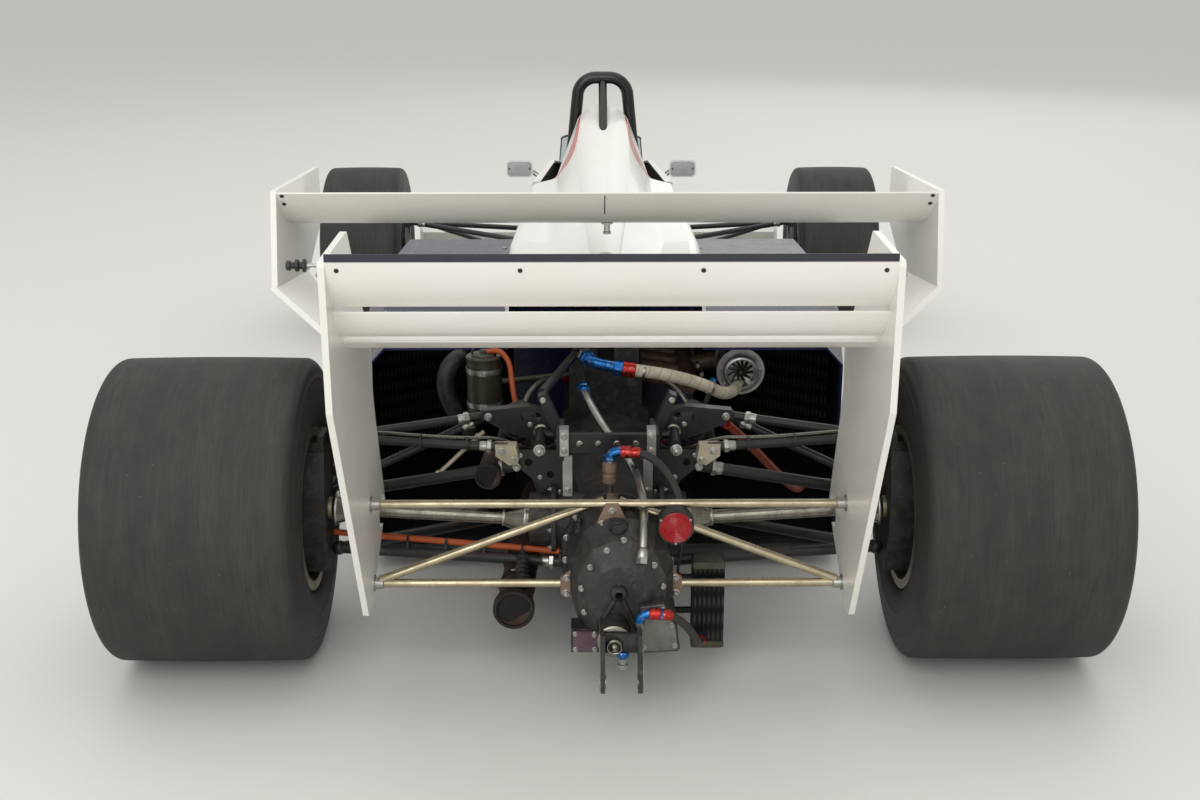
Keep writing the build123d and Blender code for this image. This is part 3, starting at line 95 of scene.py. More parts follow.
def spot(across: float, forward: float, height: float) -> Vector:
    """A point from millimetres across, ahead of the rear axle and above the ground."""
    return Vector((across * MM, ahead(forward), height * MM))


# ---------------------------------------------------------------- colour and nodes
Socket = bpy.types.NodeSocket


def linear(hex_colour: str) -> tuple[float, float, float, float]:
    """Turns a colour written as sRGB hex into linear light.

    Args:
        hex_colour: a colour such as "#E9E8E1".

    Returns:
        Its red, green and blue as linear light, and full cover.
    """
    channels = [int(hex_colour[i:i + 2], 16) / 255 for i in (1, 3, 5)]
    light = [c / 12.92 if c <= 0.04045 else ((c + 0.055) / 1.055) ** 2.4 for c in channels]
    return (*light, 1.0)


def add_node(tree: bpy.types.NodeTree, kind: str, inputs: dict | None = None,
             **settings: object) -> bpy.types.Node:
    """Adds a node with its settings, and fills or links its inputs.

    Args:
        tree: the tree that gets the node.
        kind: the node's type name.
        inputs: by socket name or number, a value, or the output socket that feeds it.
        **settings: properties of the node.

    Returns:
        The new node.
    """
    node = tree.nodes.new(kind)
    for name, value in settings.items():
        setattr(node, name, value)
    for key, value in (inputs or {}).items():
        if isinstance(value, Socket):
            tree.links.new(value, node.inputs[key])
        else:
            node.inputs[key].default_value = value
    return node


def per_metre(spacing: float) -> float:
    """The scale of a pattern whose features lie this many millimetres apart."""
    return 1 / (spacing * MM)


COLOUR_A, COLOUR_B, COLOUR_OUT = 6, 7, 2  # the colour sockets of a Mix node


@dataclass(frozen=True)
class Artwork:
    """A material in the making: its tree, its Principled shader and its Texture Coordinate node."""

    tree: bpy.types.NodeTree
    shader: bpy.types.Node
    where: bpy.types.Node

    @property
    def place(self) -> Socket:
        """Where a point lies, in metres from the piece's own zero."""
        return self.where.outputs["Object"]

    def add(self, kind: str, inputs: dict | None = None, **settings: object) -> Sequence[Socket]:
        """Adds a shader node of this kind, and gives its outputs."""
        return add_node(self.tree, f"ShaderNode{kind}", inputs, **settings).outputs

    def split(self, vector: Socket) -> Sequence[Socket]:
        """The X, Y and Z of a vector."""
        return self.add("SeparateXYZ", {"Vector": vector})

    def math(self, operation: str, *values: Socket | float) -> Socket:
        """The result of one operation on one, two or three values."""
        return self.add("Math", dict(enumerate(values)), operation=operation)["Value"]

    def spread(self, value: Socket, low: float, high: float, first: float = 0.0, last: float = 1.0,
               clamp: bool = True) -> Socket:
        """Stretches a value that lies between first and last, so that it runs from low to high."""
        return self.add("MapRange", {"Value": value, "From Min": first, "From Max": last, "To Min": low,
                                     "To Max": high}, clamp=clamp)["Result"]

    def noise(self, spacing: float, detail: float, place: Socket | None = None, **more: float) -> Socket:
        """Noise whose features lie this many millimetres apart, with this many octaves."""
        return self.add("TexNoise", {"Vector": self.place if place is None else place,
                                     "Scale": per_metre(spacing), "Detail": detail, **more})["Fac"]

    def mottle(self, spacing: float, low: float, high: float, detail: float = 4.0,
               place: Socket | None = None) -> Socket:
        """Draws soft patches that run from nothing to full cover.

        Args:
            spacing: how far apart the patches lie, in millimetres.
            low: the noise at which they begin.
            high: the noise at which they are full.
            detail: octaves of the noise.
            place: the coordinates, if they aren't the piece's own.

        Returns:
            The share of cover, from 0 to 1.
        """
        return self.spread(self.noise(spacing, detail, place, Roughness=0.6), 0.0, 1.0, low, high)

    def specks(self, spacing: float, inner: float, outer: float, chosen: Socket) -> Socket:
        """Draws round specks in the middle of the cells of a pattern, where the chosen patches lie."""
        cells = self.add("TexVoronoi", {"Vector": self.place, "Scale": per_metre(spacing)})["Distance"]
        return self.math("MULTIPLY", self.spread(cells, 0.6, 0.0, inner, outer), chosen)

    def waves(self, spacing: float, way: str, **more: float) -> Socket:
        """Draws even bands along one axis, this many millimetres apart."""
        scale = per_metre(spacing) / (2 * math.pi)
        return self.add("TexWave", {"Vector": self.place, "Scale": scale, **more}, wave_type="BANDS",
                        bands_direction=way)["Fac"]

    def lay(self, share: Socket, under: Socket | str, over: Socket | str) -> Socket:
        """Lays one colour over another by a share; each is a socket or an sRGB hex."""
        under, over = (linear(colour) if isinstance(colour, str) else colour for colour in (under, over))
        return self.add("Mix", {0: share, COLOUR_A: under, COLOUR_B: over}, data_type="RGBA")[COLOUR_OUT]

    def feed(self, name: str, value: Socket | float) -> None:
        """Links or sets an input of the shader."""
        if isinstance(value, Socket):
            self.tree.links.new(value, self.shader.inputs[name])
        else:
            self.shader.inputs[name].default_value = value

    def fed(self, name: str) -> Socket:
        """The socket that feeds an input of the shader."""
        return self.shader.inputs[name].links[0].from_socket

    def roughen(self, height: Socket, depth: float, strength: float) -> None:
        """Gives the surface a relief of this many millimetres."""
        self.feed("Normal", self.add("Bump", {
            "Height": height, "Distance": depth * MM, "Strength": strength})["Normal"])


@dataclass(frozen=True)
class Finish:
    """A finish: the colour, gloss and slot that all of them have, and how they become a material."""

    name: str
    slot: str
    colour: str
    roughness: float
    metallic: float = 0.0

    def material(self) -> bpy.types.Material:
        """Builds the material the first time, and gives the same one after that."""
        made = bpy.data.materials.get(self.name)
        if made is not None:
            return made
        made = bpy.data.materials.new(self.name)
        made.use_nodes = True
        made.diffuse_color = linear(self.colour)
        tree = made.node_tree
        tree.nodes.clear()
        output = add_node(tree, "ShaderNodeOutputMaterial")
        shader = add_node(tree, "ShaderNodeBsdfPrincipled", {
            "Base Color": linear(self.colour), "Roughness": self.roughness, "Metallic": self.metallic})
        tree.links.new(shader.outputs["BSDF"], output.inputs["Surface"])
        self.dress(Artwork(tree, shader, add_node(tree, "ShaderNodeTexCoord")))
        return made

    def dress(self, art: Artwork) -> None:
        """Adds what this finish has beyond a colour and a gloss."""
        raise NotImplementedError

    def wear(self, art: Artwork, patches: Socket, share: float, tint: str, dulling: float) -> None:
        """Lays a tint over the colour in patches, and dulls the gloss there.

        Args:
            art: the material in the making.
            patches: the patches.
            share: how much of the tint shows where they are full.
            tint: its colour.
            dulling: what they add to the roughness.
        """
        art.feed("Base Color", art.lay(art.spread(patches, 0.0, share), self.colour, tint))
        art.feed("Roughness", art.spread(patches, self.roughness, self.roughness + dulling))


# ---------------------------------------------------------------- painted and plated finishes
@dataclass(frozen=True)
class SprayedEnamel(Finish):
    """Two-pack enamel, sprayed on a glass fibre moulding: glossy, a little aged, dusty and stone chipped."""

    aged: str = "#E0DCCF"
    dirt: str = "#8A8371"
    primer: str = "#8C897F"
    dirt_share: float = 0.1
    aged_share: float = 0.5
    coat: float = 0.35
    specular: float = 0.5

    def dress(self, art: Artwork) -> None:
        """Adds ageing in broad patches, film of dust, small chips to the primer, and orange peel."""
        dust = art.mottle(46, 0.42, 0.85, 8)
        ageing = art.spread(art.mottle(320, 0.35, 0.75, 2), 0.0, self.aged_share)
        aged = art.lay(ageing, self.pattern(art), self.aged)
        dusty = art.lay(art.spread(dust, 0.0, self.dirt_share), aged, self.dirt)
        chips = art.specks(26, 0.025, 0.04, art.mottle(90, 0.62, 0.66, 2))
        art.feed("Base Color", art.lay(chips, dusty, self.primer))
        art.feed("Roughness", art.spread(dust, self.roughness, self.roughness + 0.1))
        art.feed("Coat Weight", self.coat)
        art.feed("Specular IOR Level", self.specular)
        art.feed("Coat Roughness", 0.08)
        art.roughen(art.noise(5, 1.0), 0.03, 0.12)

    def pattern(self, art: Artwork) -> Socket | str:
        """The sprayed colour or colours, before age and dust."""
        return self.colour


@dataclass(frozen=True)
class PanelEnamel(SprayedEnamel):
    """The same enamel on a moulded panel, whose inner faces are bare laminate."""

    laminate: str = "#24231F"
    floor_level: float = 90.0  # below this, upper faces are a floor's and so inner ones

    def dress(self, art: Artwork) -> None:
        """Shows the laminate on faces that look down or towards the middle of the car."""
        super().dress(art)
        facing = art.split(art.add("NewGeometry")["True Normal"])
        place = art.split(art.place)
        outward = art.math("MULTIPLY", art.math("SIGN", place["X"]), facing["X"])
        inner = art.math("LESS_THAN", facing["Z"], -0.3)
        for other in (art.math("LESS_THAN", outward, -0.35),
                      art.math("LESS_THAN", place["Z"], self.floor_level * MM)):
            inner = art.math("MAXIMUM", inner, other)
        gloss = art.add("Mix", {0: inner, 2: art.fed("Roughness"), 3: 0.7}, data_type="FLOAT")[0]
        art.feed("Base Color", art.lay(inner, art.fed("Base Color"), self.laminate))
        art.feed("Roughness", gloss)


@dataclass(frozen=True)
class CoverEnamel(PanelEnamel):
    """The engine cover's enamel: a leaf-shaped stripe down each flank, and a line along its foot."""

    stripe: str = "#C5301B"
    front: float = 1297.0  # ahead; the leaf curves back from here
    bottom: float = 822.0
    top: float = 1006.0
    reach: float = 150.0  # of the leaf behind the front edge, at its widest
    line: float = 9.0  # height of the line along the foot
    # ahead and height of the cover's foot
    foot: tuple[tuple[float, float], ...] = ((1250.0, 604.0), (850.0, 594.0), (450.0, 560.0))

    def pattern(self, art: Artwork) -> Socket:
        """Sprays the two leaves and the line along the foot over the white."""
        place = art.split(art.place)
        leaf = art.math("SINE", art.spread(place["Z"], 0.0, math.pi, self.bottom * MM, self.top * MM))
        behind = art.spread(place["Y"], 0.0, 1.0, ahead(self.front), ahead(self.front - self.reach),
                            clamp=False)
        striped = art.math("COMPARE", art.math("DIVIDE", behind, leaf), 0.72, 0.28)
        rows = [art.spread(place["Y"], (high + self.line) * MM, (low + self.line) * MM, ahead(fore), ahead(aft),
                           clamp=False) for (fore, high), (aft, low) in zip(self.foot, self.foot[1:])]
        lined = art.math("LESS_THAN", place["Z"], art.math("MINIMUM", *rows))
        return art.lay(lined, art.lay(striped, self.colour, self.stripe), self.stripe)


@dataclass(frozen=True)
class StovedBlack(Finish):
    """Black stoving enamel on steel tube and plate: satin, dusty on top and rubbed grey here and there."""

    dust: str = "#57524A"
    dust_share: float = 0.35

    def dress(self, art: Artwork) -> None:
        """Adds dust that lies on upper faces, rubbed patches and a fine powder texture."""
        facing = art.split(art.add("NewGeometry")["Normal"])
        patches = art.mottle(24, 0.3, 0.7, 6)
        settled = art.math("MULTIPLY", art.spread(facing["Z"], 0.0, self.dust_share, 0.2, 1.0), patches)
        art.feed("Base Color", art.lay(settled, self.colour, self.dust))
        art.feed("Roughness", art.spread(patches, self.roughness, self.roughness + 0.2))
        art.roughen(art.noise(1.4, 2.0), 0.08, 0.5)


@dataclass(frozen=True)
class TarnishedPlate(Finish):
    """Plated or bare metal that has been handled: bright, with a brown tarnish and fine scratches."""

    tarnish: str = "#6E604A"
    tarnish_share: float = 0.6

    def dress(self, art: Artwork) -> None:
        """Adds cloudy tarnish and fine scratches."""
        self.wear(art, art.mottle(38, 0.38, 0.78, 7), self.tarnish_share, self.tarnish, 0.2)
        art.roughen(art.noise(2.2, 6.0, Distortion=2.0), 0.03, 0.4)


@dataclass(frozen=True)
class CastMetal(Finish):
    """A sand casting with its skin on: grainy, with oil stains and pale dust in its hollows."""

    stain: str = "#1C1A18"
    dust: str = "#6A655C"

    def dress(self, art: Artwork) -> None:
        """Adds the grain of the sand, oil stains and dust."""
        self.wear(art, art.mottle(70, 0.42, 0.68), 0.7, self.stain, -0.22)
        dust = art.spread(art.mottle(18, 0.5, 0.8, 8), 0.0, 0.5)
        art.feed("Base Color", art.lay(dust, art.fed("Base Color"), self.dust))
        art.roughen(art.noise(2.6, 5.0), 0.5, 0.6)


@dataclass(frozen=True)
class HeatedSteel(Finish):
    """Mild steel that runs hot: scaled and rusted in patches, straw and blue where it is hottest."""

    rust: str = "#7A4A2C"
    scale: str = "#2B2622"

    def dress(self, art: Artwork) -> None:
        """Adds rust, dark scale and a coarse skin."""
        rust = art.mottle(30, 0.42, 0.62, 8)
        scale = art.spread(art.mottle(75, 0.45, 0.7, 5), 0.0, 0.8)
        art.feed("Base Color", art.lay(scale, art.lay(rust, self.colour, self.rust), self.scale))
        art.feed("Roughness", art.spread(rust, self.roughness, 0.85))
        art.roughen(rust, 0.25, 0.6)


# ---------------------------------------------------------------- rubber, plastic, cloth
@dataclass(frozen=True)
class SlickRubber(Finish):
    """Moulded slick rubber after some laps: scrubbed in fine lines round the tyre, pitted and dusty."""

    dust: str = "#57514A"
    stone: str = "#8F877B"
    tread_radius: float = 0.3

    def dress(self, art: Artwork) -> None:
        """Adds scrub lines round the axle, pits and specks of stone, and the smoother moulded wall."""
        place = art.split(art.place)
        turn = art.math("MULTIPLY", art.math("ARCTAN2", place["Y"], place["Z"]), 0.02)
        flat = art.add("CombineXYZ", {"X": 0.0, "Y": place["Y"], "Z": place["Z"]})["Vector"]
        radius = art.add("VectorMath", {0: flat}, operation="LENGTH")["Value"]
        rolled = art.add("CombineXYZ", {"X": place["X"], "Y": turn, "Z": radius})["Vector"]
        lines = art.mottle(4.5, 0.3, 0.75, 6, rolled)
        bands = art.mottle(45, 0.3, 0.75, 3, rolled)
        tread = art.spread(radius, 0.0, 1.0, self.tread_radius - 0.02, self.tread_radius - 0.004)
        scrub = art.math("MULTIPLY", art.math("MULTIPLY", lines, bands), art.spread(tread, 0.12, 0.45))
        scrubbed = art.lay(scrub, self.colour, self.dust)
        dusty = art.lay(art.spread(art.mottle(55, 0.35, 0.8, 6), 0.0, 0.18), scrubbed, self.dust)
        stones = art.specks(17, 0.04, 0.07, art.mottle(60, 0.52, 0.58, 2))
        art.feed("Base Color", art.lay(stones, dusty, self.stone))
        art.feed("Roughness", art.spread(tread, self.roughness - 0.16, self.roughness))
        art.roughen(art.math("MULTIPLY_ADD", art.noise(3.0, 5.0), lines, 0.5), 0.35, 0.55)


@dataclass(frozen=True)
class ClearPlastic(Finish):
    """Cast acrylic, polished: clear, with a faint tint and dust."""

    clearness: float = 0.92

    def dress(self, art: Artwork) -> None:
        """Lets light through, and lays a little dust on the sheet."""
        art.feed("Transmission Weight", self.clearness)
        art.feed("IOR", 1.49)
        art.feed("Roughness", art.spread(art.mottle(40, 0.4, 0.9, 6), self.roughness, self.roughness + 0.12))


@dataclass(frozen=True)
class WovenCloth(Finish):
    """Woven cloth or webbing: two sets of threads, one over the other, with a soft sheen."""

    thread: float = 3.0  # drawn coarser than the real 0.5 mm, so that it shows
    fade: str = "#3A3A40"

    def dress(self, art: Artwork) -> None:
        """Adds the two sets of threads and a worn fade."""
        cloth = art.math("MULTIPLY", *(art.waves(self.thread, way, Distortion=0.3) for way in ("X", "Z")))
        worn = art.spread(art.mottle(60, 0.35, 0.8, 5), 0.0, 0.5)
        art.feed("Base Color", art.lay(worn, self.colour, self.fade))
        art.feed("Sheen Weight", 0.3)
        art.feed("Sheen Roughness", 0.5)
        art.roughen(cloth, 0.4, 0.7)


@dataclass(frozen=True)
class CompositeSheet(Finish):
    """Woven composite under a dull resin: dark, with the weave just showing, scuffed and dusty."""

    dust: str = "#57534B"
    warp: str = "#232326"

    def dress(self, art: Artwork) -> None:
        weave = art.add("TexChecker", {"Vector": art.place, "Scale": per_metre(6),
                                       "Color1": linear(self.colour), "Color2": linear(self.warp)})
        dust = art.spread(art.mottle(60, 0.4, 0.8, 7), 0.0, 0.6)
        art.feed("Base Color", art.lay(dust, weave["Color"], self.dust))
        art.roughen(weave["Fac"], 0.05, 0.4)


@dataclass(frozen=True)
class FinnedCore(Finish):
    """The core of a radiator: thin fins between flat tubes, dulled by dust, with painted shade in the gaps."""

    fin: float = 5.0  # drawn coarser than the real 1.5 mm, so that it shows
    # painted shade: the dark colour of the gaps between fins and tubes
    shade: str = "#16161A"

    def dress(self, art: Artwork) -> None:
        """Adds the fins as fine upright bands and the tubes as wider level ones, with painted shade in the gaps
        between them.
        """
        face = art.math("MULTIPLY", art.waves(self.fin, "X"), art.waves(4 * self.fin, "Z"))
        art.feed("Base Color", art.lay(face, self.shade, self.colour))
        art.roughen(face, 1.0, 0.8)


@dataclass(frozen=True)
class AnodisedAlloy(Finish):
    """Anodised aluminium: a hard dyed skin with a soft shine, scuffed bright where spanners touch it."""

    scuff: str = "#C3C8CE"

    def dress(self, art: Artwork) -> None:
        """Adds scuffs and the lines left by turning."""
        self.wear(art, art.mottle(7, 0.56, 0.7, 5), 0.6, self.scuff, 0.15)
        art.roughen(art.noise(1.2, 3.0), 0.03, 0.4)


@dataclass(frozen=True)
class TapedHose(Finish):
    """Glass cloth tape wound round a hose: each turn laps the last, with painted shade along the edge of each
    lap and dirt in patches.
    """

    width: float = 24.0
    lap_shade_and_grime: str = "#5F5645"

    def dress(self, art: Artwork) -> None:
        """Adds the laps, painted shade along their edges, dirt and stains in patches, and the cloth's weave."""
        run = art.split(art.where.outputs["UV"])
        slant = art.math("MULTIPLY_ADD", run["Y"], 0.25, run["X"])
        lap = art.math("FRACT", art.math("MULTIPLY", slant, per_metre(self.width)))
        # darker over the first sixth of each lap: painted shade where the next turn steps over it; the mottle
        # is real dirt
        lap_shade_and_grime_share = art.math("MAXIMUM", art.spread(lap, 1.0, 0.0, 0.0, 0.16), art.mottle(34, 0.45, 0.75, 7))
        art.feed("Base Color", art.lay(art.spread(lap_shade_and_grime_share, 0.0, 0.62), self.colour, self.lap_shade_and_grime))
        art.roughen(art.math("MULTIPLY_ADD", art.noise(1.6, 2.0), 0.3, lap), 0.8, 0.6)


@dataclass(frozen=True)
class BraidedSleeve(Finish):
    """A sleeve of wires braided over a hose: two sets cross at a slant, with dark gaps between them."""

    wire: float = 3.4  # drawn coarser than the real 1 mm, so that it shows
    gap: str = "#1A1917"

    def dress(self, art: Artwork) -> None:
        """Adds the two sets of wires and the gaps."""
        run = art.split(art.where.outputs["UV"])
        turn = math.pi * per_metre(self.wire)
        sets = [art.math("SINE", art.math("MULTIPLY", art.math(way, run["X"], run["Y"]), turn))
                for way in ("ADD", "SUBTRACT")]
        shown = art.spread(art.math("MULTIPLY", *sets), 0.0, 1.0, -0.5, 0.5)
        art.feed("Base Color", art.lay(shown, self.gap, self.colour))
        art.roughen(shown, 0.5, 0.7)


@dataclass(frozen=True)
class MouldedRubber(Finish):
    """Moulded or extruded rubber or plastic: a fine even skin, a little dust and some shine."""

    dust: str = "#6A655D"
    dust_share: float = 0.3

    def dress(self, art: Artwork) -> None:
        """Adds dust and the moulded skin."""
        self.wear(art, art.mottle(16, 0.46, 0.8, 6), self.dust_share, self.dust, 0.2)
        art.roughen(art.noise(1.5, 2.0), 0.05, 0.4)


# The finishes of the car.  Each comment names the real material, how its surface was made and its effect.
# two-pack enamel sprayed on a glass fibre moulding: clean gloss over faint orange peel
WHITE_BODY = PanelEnamel("white_enamel_sprayed", "white_paint", "#EBEAE6", 0.2, dirt_share=0.04,
                         aged_share=0.25)
# the same enamel, with stripes sprayed over masking: crisp edges, the same gloss
COVER_PAINT = CoverEnamel("white_enamel_striped", "white_paint", "#EBEAE6", 0.2, dirt_share=0.04,
                          aged_share=0.25)
# two-pack enamel on folded aluminium sheet: more handled, so duller and warmer in patches
WHITE_WING = SprayedEnamel("white_enamel_wing", "white_paint", "#EEECE6", 0.28, aged="#E2DECF",
                           dirt_share=0.03, aged_share=0.3, coat=0.1)
# dark blue two-pack enamel on a glass fibre moulding: deep gloss that shows dust
NAVY_BODY = PanelEnamel("navy_enamel_sprayed", "navy_paint", "#12163A", 0.24, aged="#161A42",
                        dirt="#3A3A4C", laminate="#17171A", coat=0.05, specular=0.3)
# enamel stoved on welded steel tube: satin and even
BLACK_TUBE = StovedBlack("black_stoved_tube", "satin_black", "#161618", 0.34)
# black anodised aluminium angle: dull
BLACK_EDGE = StovedBlack("black_edge_strip", "satin_black", "#2C2B36", 0.45, dust_share=0.15)
# enamel sprayed on bent steel tube: a wet gloss
GLOSS_BLACK = StovedBlack("black_gloss_hoop", "satin_black", "#09090A", 0.12, dust_share=0.05)
# nickel on drawn steel tube: a pale warm shine, browned where it is handled
PLATED_TUBE = TarnishedPlate("nickel_plated_tube", "nickel", "#BDB298", 0.24, 1.0, "#7A6C50")
# milled aluminium: bright, dulled by handling
BARE_ALLOY = TarnishedPlate("aluminium_machined", "bare_alloy", "#B9B9B8", 0.32, 1.0, "#6A665D")
# zinc on cold forged steel: bright, faintly cloudy
BRIGHT_STEEL = TarnishedPlate("steel_zinc_plated", "nickel", "#AFAEAA", 0.28, 1.0, "#76726A", 0.4)
# ground steel under an oil film: sharp streaks with an olive tone
GROUND_STEEL = TarnishedPlate("steel_ground", "nickel", "#8F8C83", 0.2, 1.0, "#57523F")
# spun aluminium, hazed by hot oil
TANK_ALLOY = TarnishedPlate("aluminium_spun_tank", "bare_alloy", "#57554A", 0.4, 0.8, "#2B2A23")
# cast centre and spun rim, lacquered: a soft gold shine
WHEEL_ALLOY = TarnishedPlate("wheel_alloy_turned", "alloy", "#A09780", 0.34, 0.9, "#5C5444", 0.45)
# cast magnesium, chromated: a matt pinkish skin
BRONZE_CAST = TarnishedPlate("magnesium_chromated", "magnesium", "#8E7869", 0.5, 0.5, "#5E4C43", 0.5)
# die cast aluminium, chromated: beige and soft
LEVER_CAST = TarnishedPlate("aluminium_cast_light", "bare_alloy", "#B7AE97", 0.45, 0.6, "#776D58", 0.5)
# cast pump body, anodised: dull mauve
MAUVE_CAST = TarnishedPlate("pump_cast_mauve", "magnesium", "#6B5560", 0.5, 0.5, "#3E3338", 0.5)
# sand cast magnesium, dark from its dip: grainy and oily; then the same, milled flat and paler
MAGNESIUM = CastMetal("magnesium_sand_cast", "magnesium", "#3A3937", 0.6, 0.3)
CASING_GREY = CastMetal("magnesium_machined", "magnesium", "#7C7B77", 0.5, 0.5, stain="#3A3935")
# cast iron under heat proof black: dull and rough
ENGINE_CAST = CastMetal("engine_iron_cast", "magnesium", "#262524", 0.6, 0.3)
# bent and welded mild steel: heat has left scale, and damp has left rust in its pits
EXHAUST = HeatedSteel("exhaust_steel_rusted", "exhaust_steel", "#4E443C", 0.5, 0.6, rust="#614331")
# the same steel where the gas leaves it: dark with soot
SOOT_STEEL = HeatedSteel("exhaust_steel_sooty", "exhaust_steel", "#2A2725", 0.55, 0.5, rust="#3B302A")
# dry soot laid down by the gas, with painted shade standing for the depth of each bore: black and dead matt
SOOT_AND_SHADE_BLACK = HeatedSteel("exhaust_bore_soot_and_shade", "exhaust_steel", "#0B0A09", 0.85, 0.0, rust="#15110E",
                         scale="#0D0C0B")
# moulded slick rubber, scrubbed by the track: matt tread, smoother wall
RUBBER_REAR = SlickRubber("slick_rubber_rear", "slick_rubber", "#262422", 0.7, tread_radius=0.328)
RUBBER_FRONT = SlickRubber("slick_rubber_front", "slick_rubber", "#232120", 0.7, tread_radius=0.303)
# heat formed acrylic sheet: clear, with a faint haze
SCREEN = ClearPlastic("acrylic_screen", "screen_glass", "#DCE4E8", 0.03)
# injection moulded acrylic: deep red and glossy
LENS = ClearPlastic("red_lens_moulded", "red_lens", "#BE0C18", 0.06, clearness=0.4)
# silvered glass: sharp reflections under a little dust
MIRROR_GLASS = TarnishedPlate("glass_silvered", "screen_glass", "#E6E9EA", 0.04, 1.0, "#B9BCBC", 0.3)
# flame resistant woven cloth: matt
CLOTH = WovenCloth("seat_cloth_woven", "seat_cloth", "#2D2D33", 0.85)
# woven polyester webbing: a faint sheen
WEBBING = WovenCloth("belt_webbing_woven", "seat_cloth", "#27448F", 0.7, thread=2.0)
# foam shell wrapped in cloth tape: matt and coarse
SEAT_SHELL = WovenCloth("seat_shell_wrapped", "seat_cloth", "#3A3A40", 0.8, thread=5.0)
# turned aluminium, anodised and dyed: a soft coloured shine
ANODISED_BLUE = AnodisedAlloy("aluminium_anodised_blue", "bare_alloy", "#1F63A6", 0.3, 0.85)
ANODISED_RED = AnodisedAlloy("aluminium_anodised_red", "bare_alloy", "#B5302A", 0.32, 0.85)
# woven glass tape, wound by hand: cream and matt
HOSE_TAPE = TapedHose("glass_tape_wound", "hose_braid", "#CBC3AC", 0.75)
# nylon braid and stainless braid over rubber: fine dark checks, and bright ones
BLACK_BRAID = BraidedSleeve("hose_braid_black", "hose_braid", "#3C3A37", 0.55)
STEEL_BRAID = BraidedSleeve("hose_braid_steel", "hose_braid", "#A5A198", 0.34, 0.9)
# extruded silicone: an even satin colour
ORANGE_HOSE = MouldedRubber("silicone_orange", "hose_braid", "#B5501D", 0.48, dust="#5B4A3A")
RED_HOSE = MouldedRubber("silicone_red", "hose_braid", "#8C3118", 0.48, dust="#4C3529")
# moulded rubber: dull black
BLACK_RUBBER = MouldedRubber("rubber_moulded_black", "slick_rubber", "#19191A", 0.5)
# hide with its nap raised: no shine at all
GRIP = MouldedRubber("suede_grip", "seat_cloth", "#1A1A1C", 0.9, dust="#3D3B3A")
# printed enamel: matt
DIAL_MARK = MouldedRubber("dial_mark_enamel", "white_paint", "#D8D6CC", 0.6, dust_share=0.1)
# pressed composite sheet: a dull resin over dark cloth
FLOOR_SHEET = CompositeSheet("floor_composite", "carbon_floor", "#151517", 0.5)
# brazed aluminium core, oily and dusty, with painted shade between its fins
CORE = FinnedCore("radiator_core", "bare_alloy", "#4A4A48", 0.55, 0.7)

NODE_FINISHES: tuple[tuple[Finish, str], ...] = (
    (NAVY_BODY, "monocoque sidepods"), (WHITE_BODY, "cockpit_cowl nose_cone mirrors"),
    (COVER_PAINT, "engine_cover"), (WHITE_WING, "front_wing front_wing_plates rear_wing_plane"),
    (WHITE_WING, "rear_wing_plates forward_wing_plane forward_wing_plates"), (BLACK_EDGE, "gurney_strip"),
    (SCREEN, "windscreen"), (GLOSS_BLACK, "roll_hoop"), (FLOOR_SHEET, "floor_pan"), (CORE, "coolers"),
    (ENGINE_CAST, "engine"), (MAGNESIUM, "gearbox rear_uprights front_upright_left front_upright_right"),
    (BARE_ALLOY, "turbocharger steering_rack"), (EXHAUST, "exhaust_pipes"), (TANK_ALLOY, "catch_tank"),
    (PLATED_TUBE, "wing_frame"), (LENS, "rain_light"),
    (BLACK_TUBE, "rear_wishbones front_wishbones rear_rockers rear_dampers"),
    (GROUND_STEEL, "driveshaft_left driveshaft_right"),
    (WHEEL_ALLOY, "rear_rim_left rear_rim_right front_rim_left front_rim_right"),
)


def dress_frame() -> None:
    """Gives every carried-over node of the frame its finish."""
    for name, finish in ((name, finish) for finish, names in NODE_FINISHES for name in names.split()):
        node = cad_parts[name]
        for number in range(len(node.material_slots)):
            node.material_slots[number].material = finish.material()
        LOG.info("%s: %s", name, finish.name)


# ---------------------------------------------------------------- shaping
Outline = Sequence[tuple[float, float]]
Route = Sequence[tuple[float, float, float]]
ASTERN = Y_AXIS
ONWARD = -Y_AXIS
INWARD = -X_AXIS  # from the left side


def station(forward: float) -> Vector:
    """The point on the ground under the middle of the car, this many millimetres ahead of the rear axle."""
    return Vector((0, ahead(forward), 0))


def spokes(count: int, first: Vector, second: Vector, start: float = 0.0) -> Iterator[tuple[float, Vector]]:
    """Evenly spaced directions round a circle, from the first towards the second, each with its angle."""
    for number in range(count):
        angle = 2 * math.pi * (number + start) / count
        yield angle, first * math.cos(angle) + second * math.sin(angle)


def rounded(width: float, height: float, corner: float, steps: int = 5) -> list[tuple[float, float]]:
    """The outline of a rectangle with round corners, centred, in millimetres."""
    points = []
    for quarter, (x, y) in enumerate(((1, 1), (-1, 1), (-1, -1), (1, -1))):
        middle = (x * (width / 2 - corner), y * (height / 2 - corner))
        for step in range(steps + 1):
            turn = math.radians(90 * (quarter + step / steps))
            points.append((middle[0] + corner * math.cos(turn), middle[1] + corner * math.sin(turn)))
    return points


def mirrored(outline: Outline, side: Side) -> list[tuple[float, float]]:
    """The same outline on the given side of the car."""
    return [(side.value * across, height) for across, height in outline]


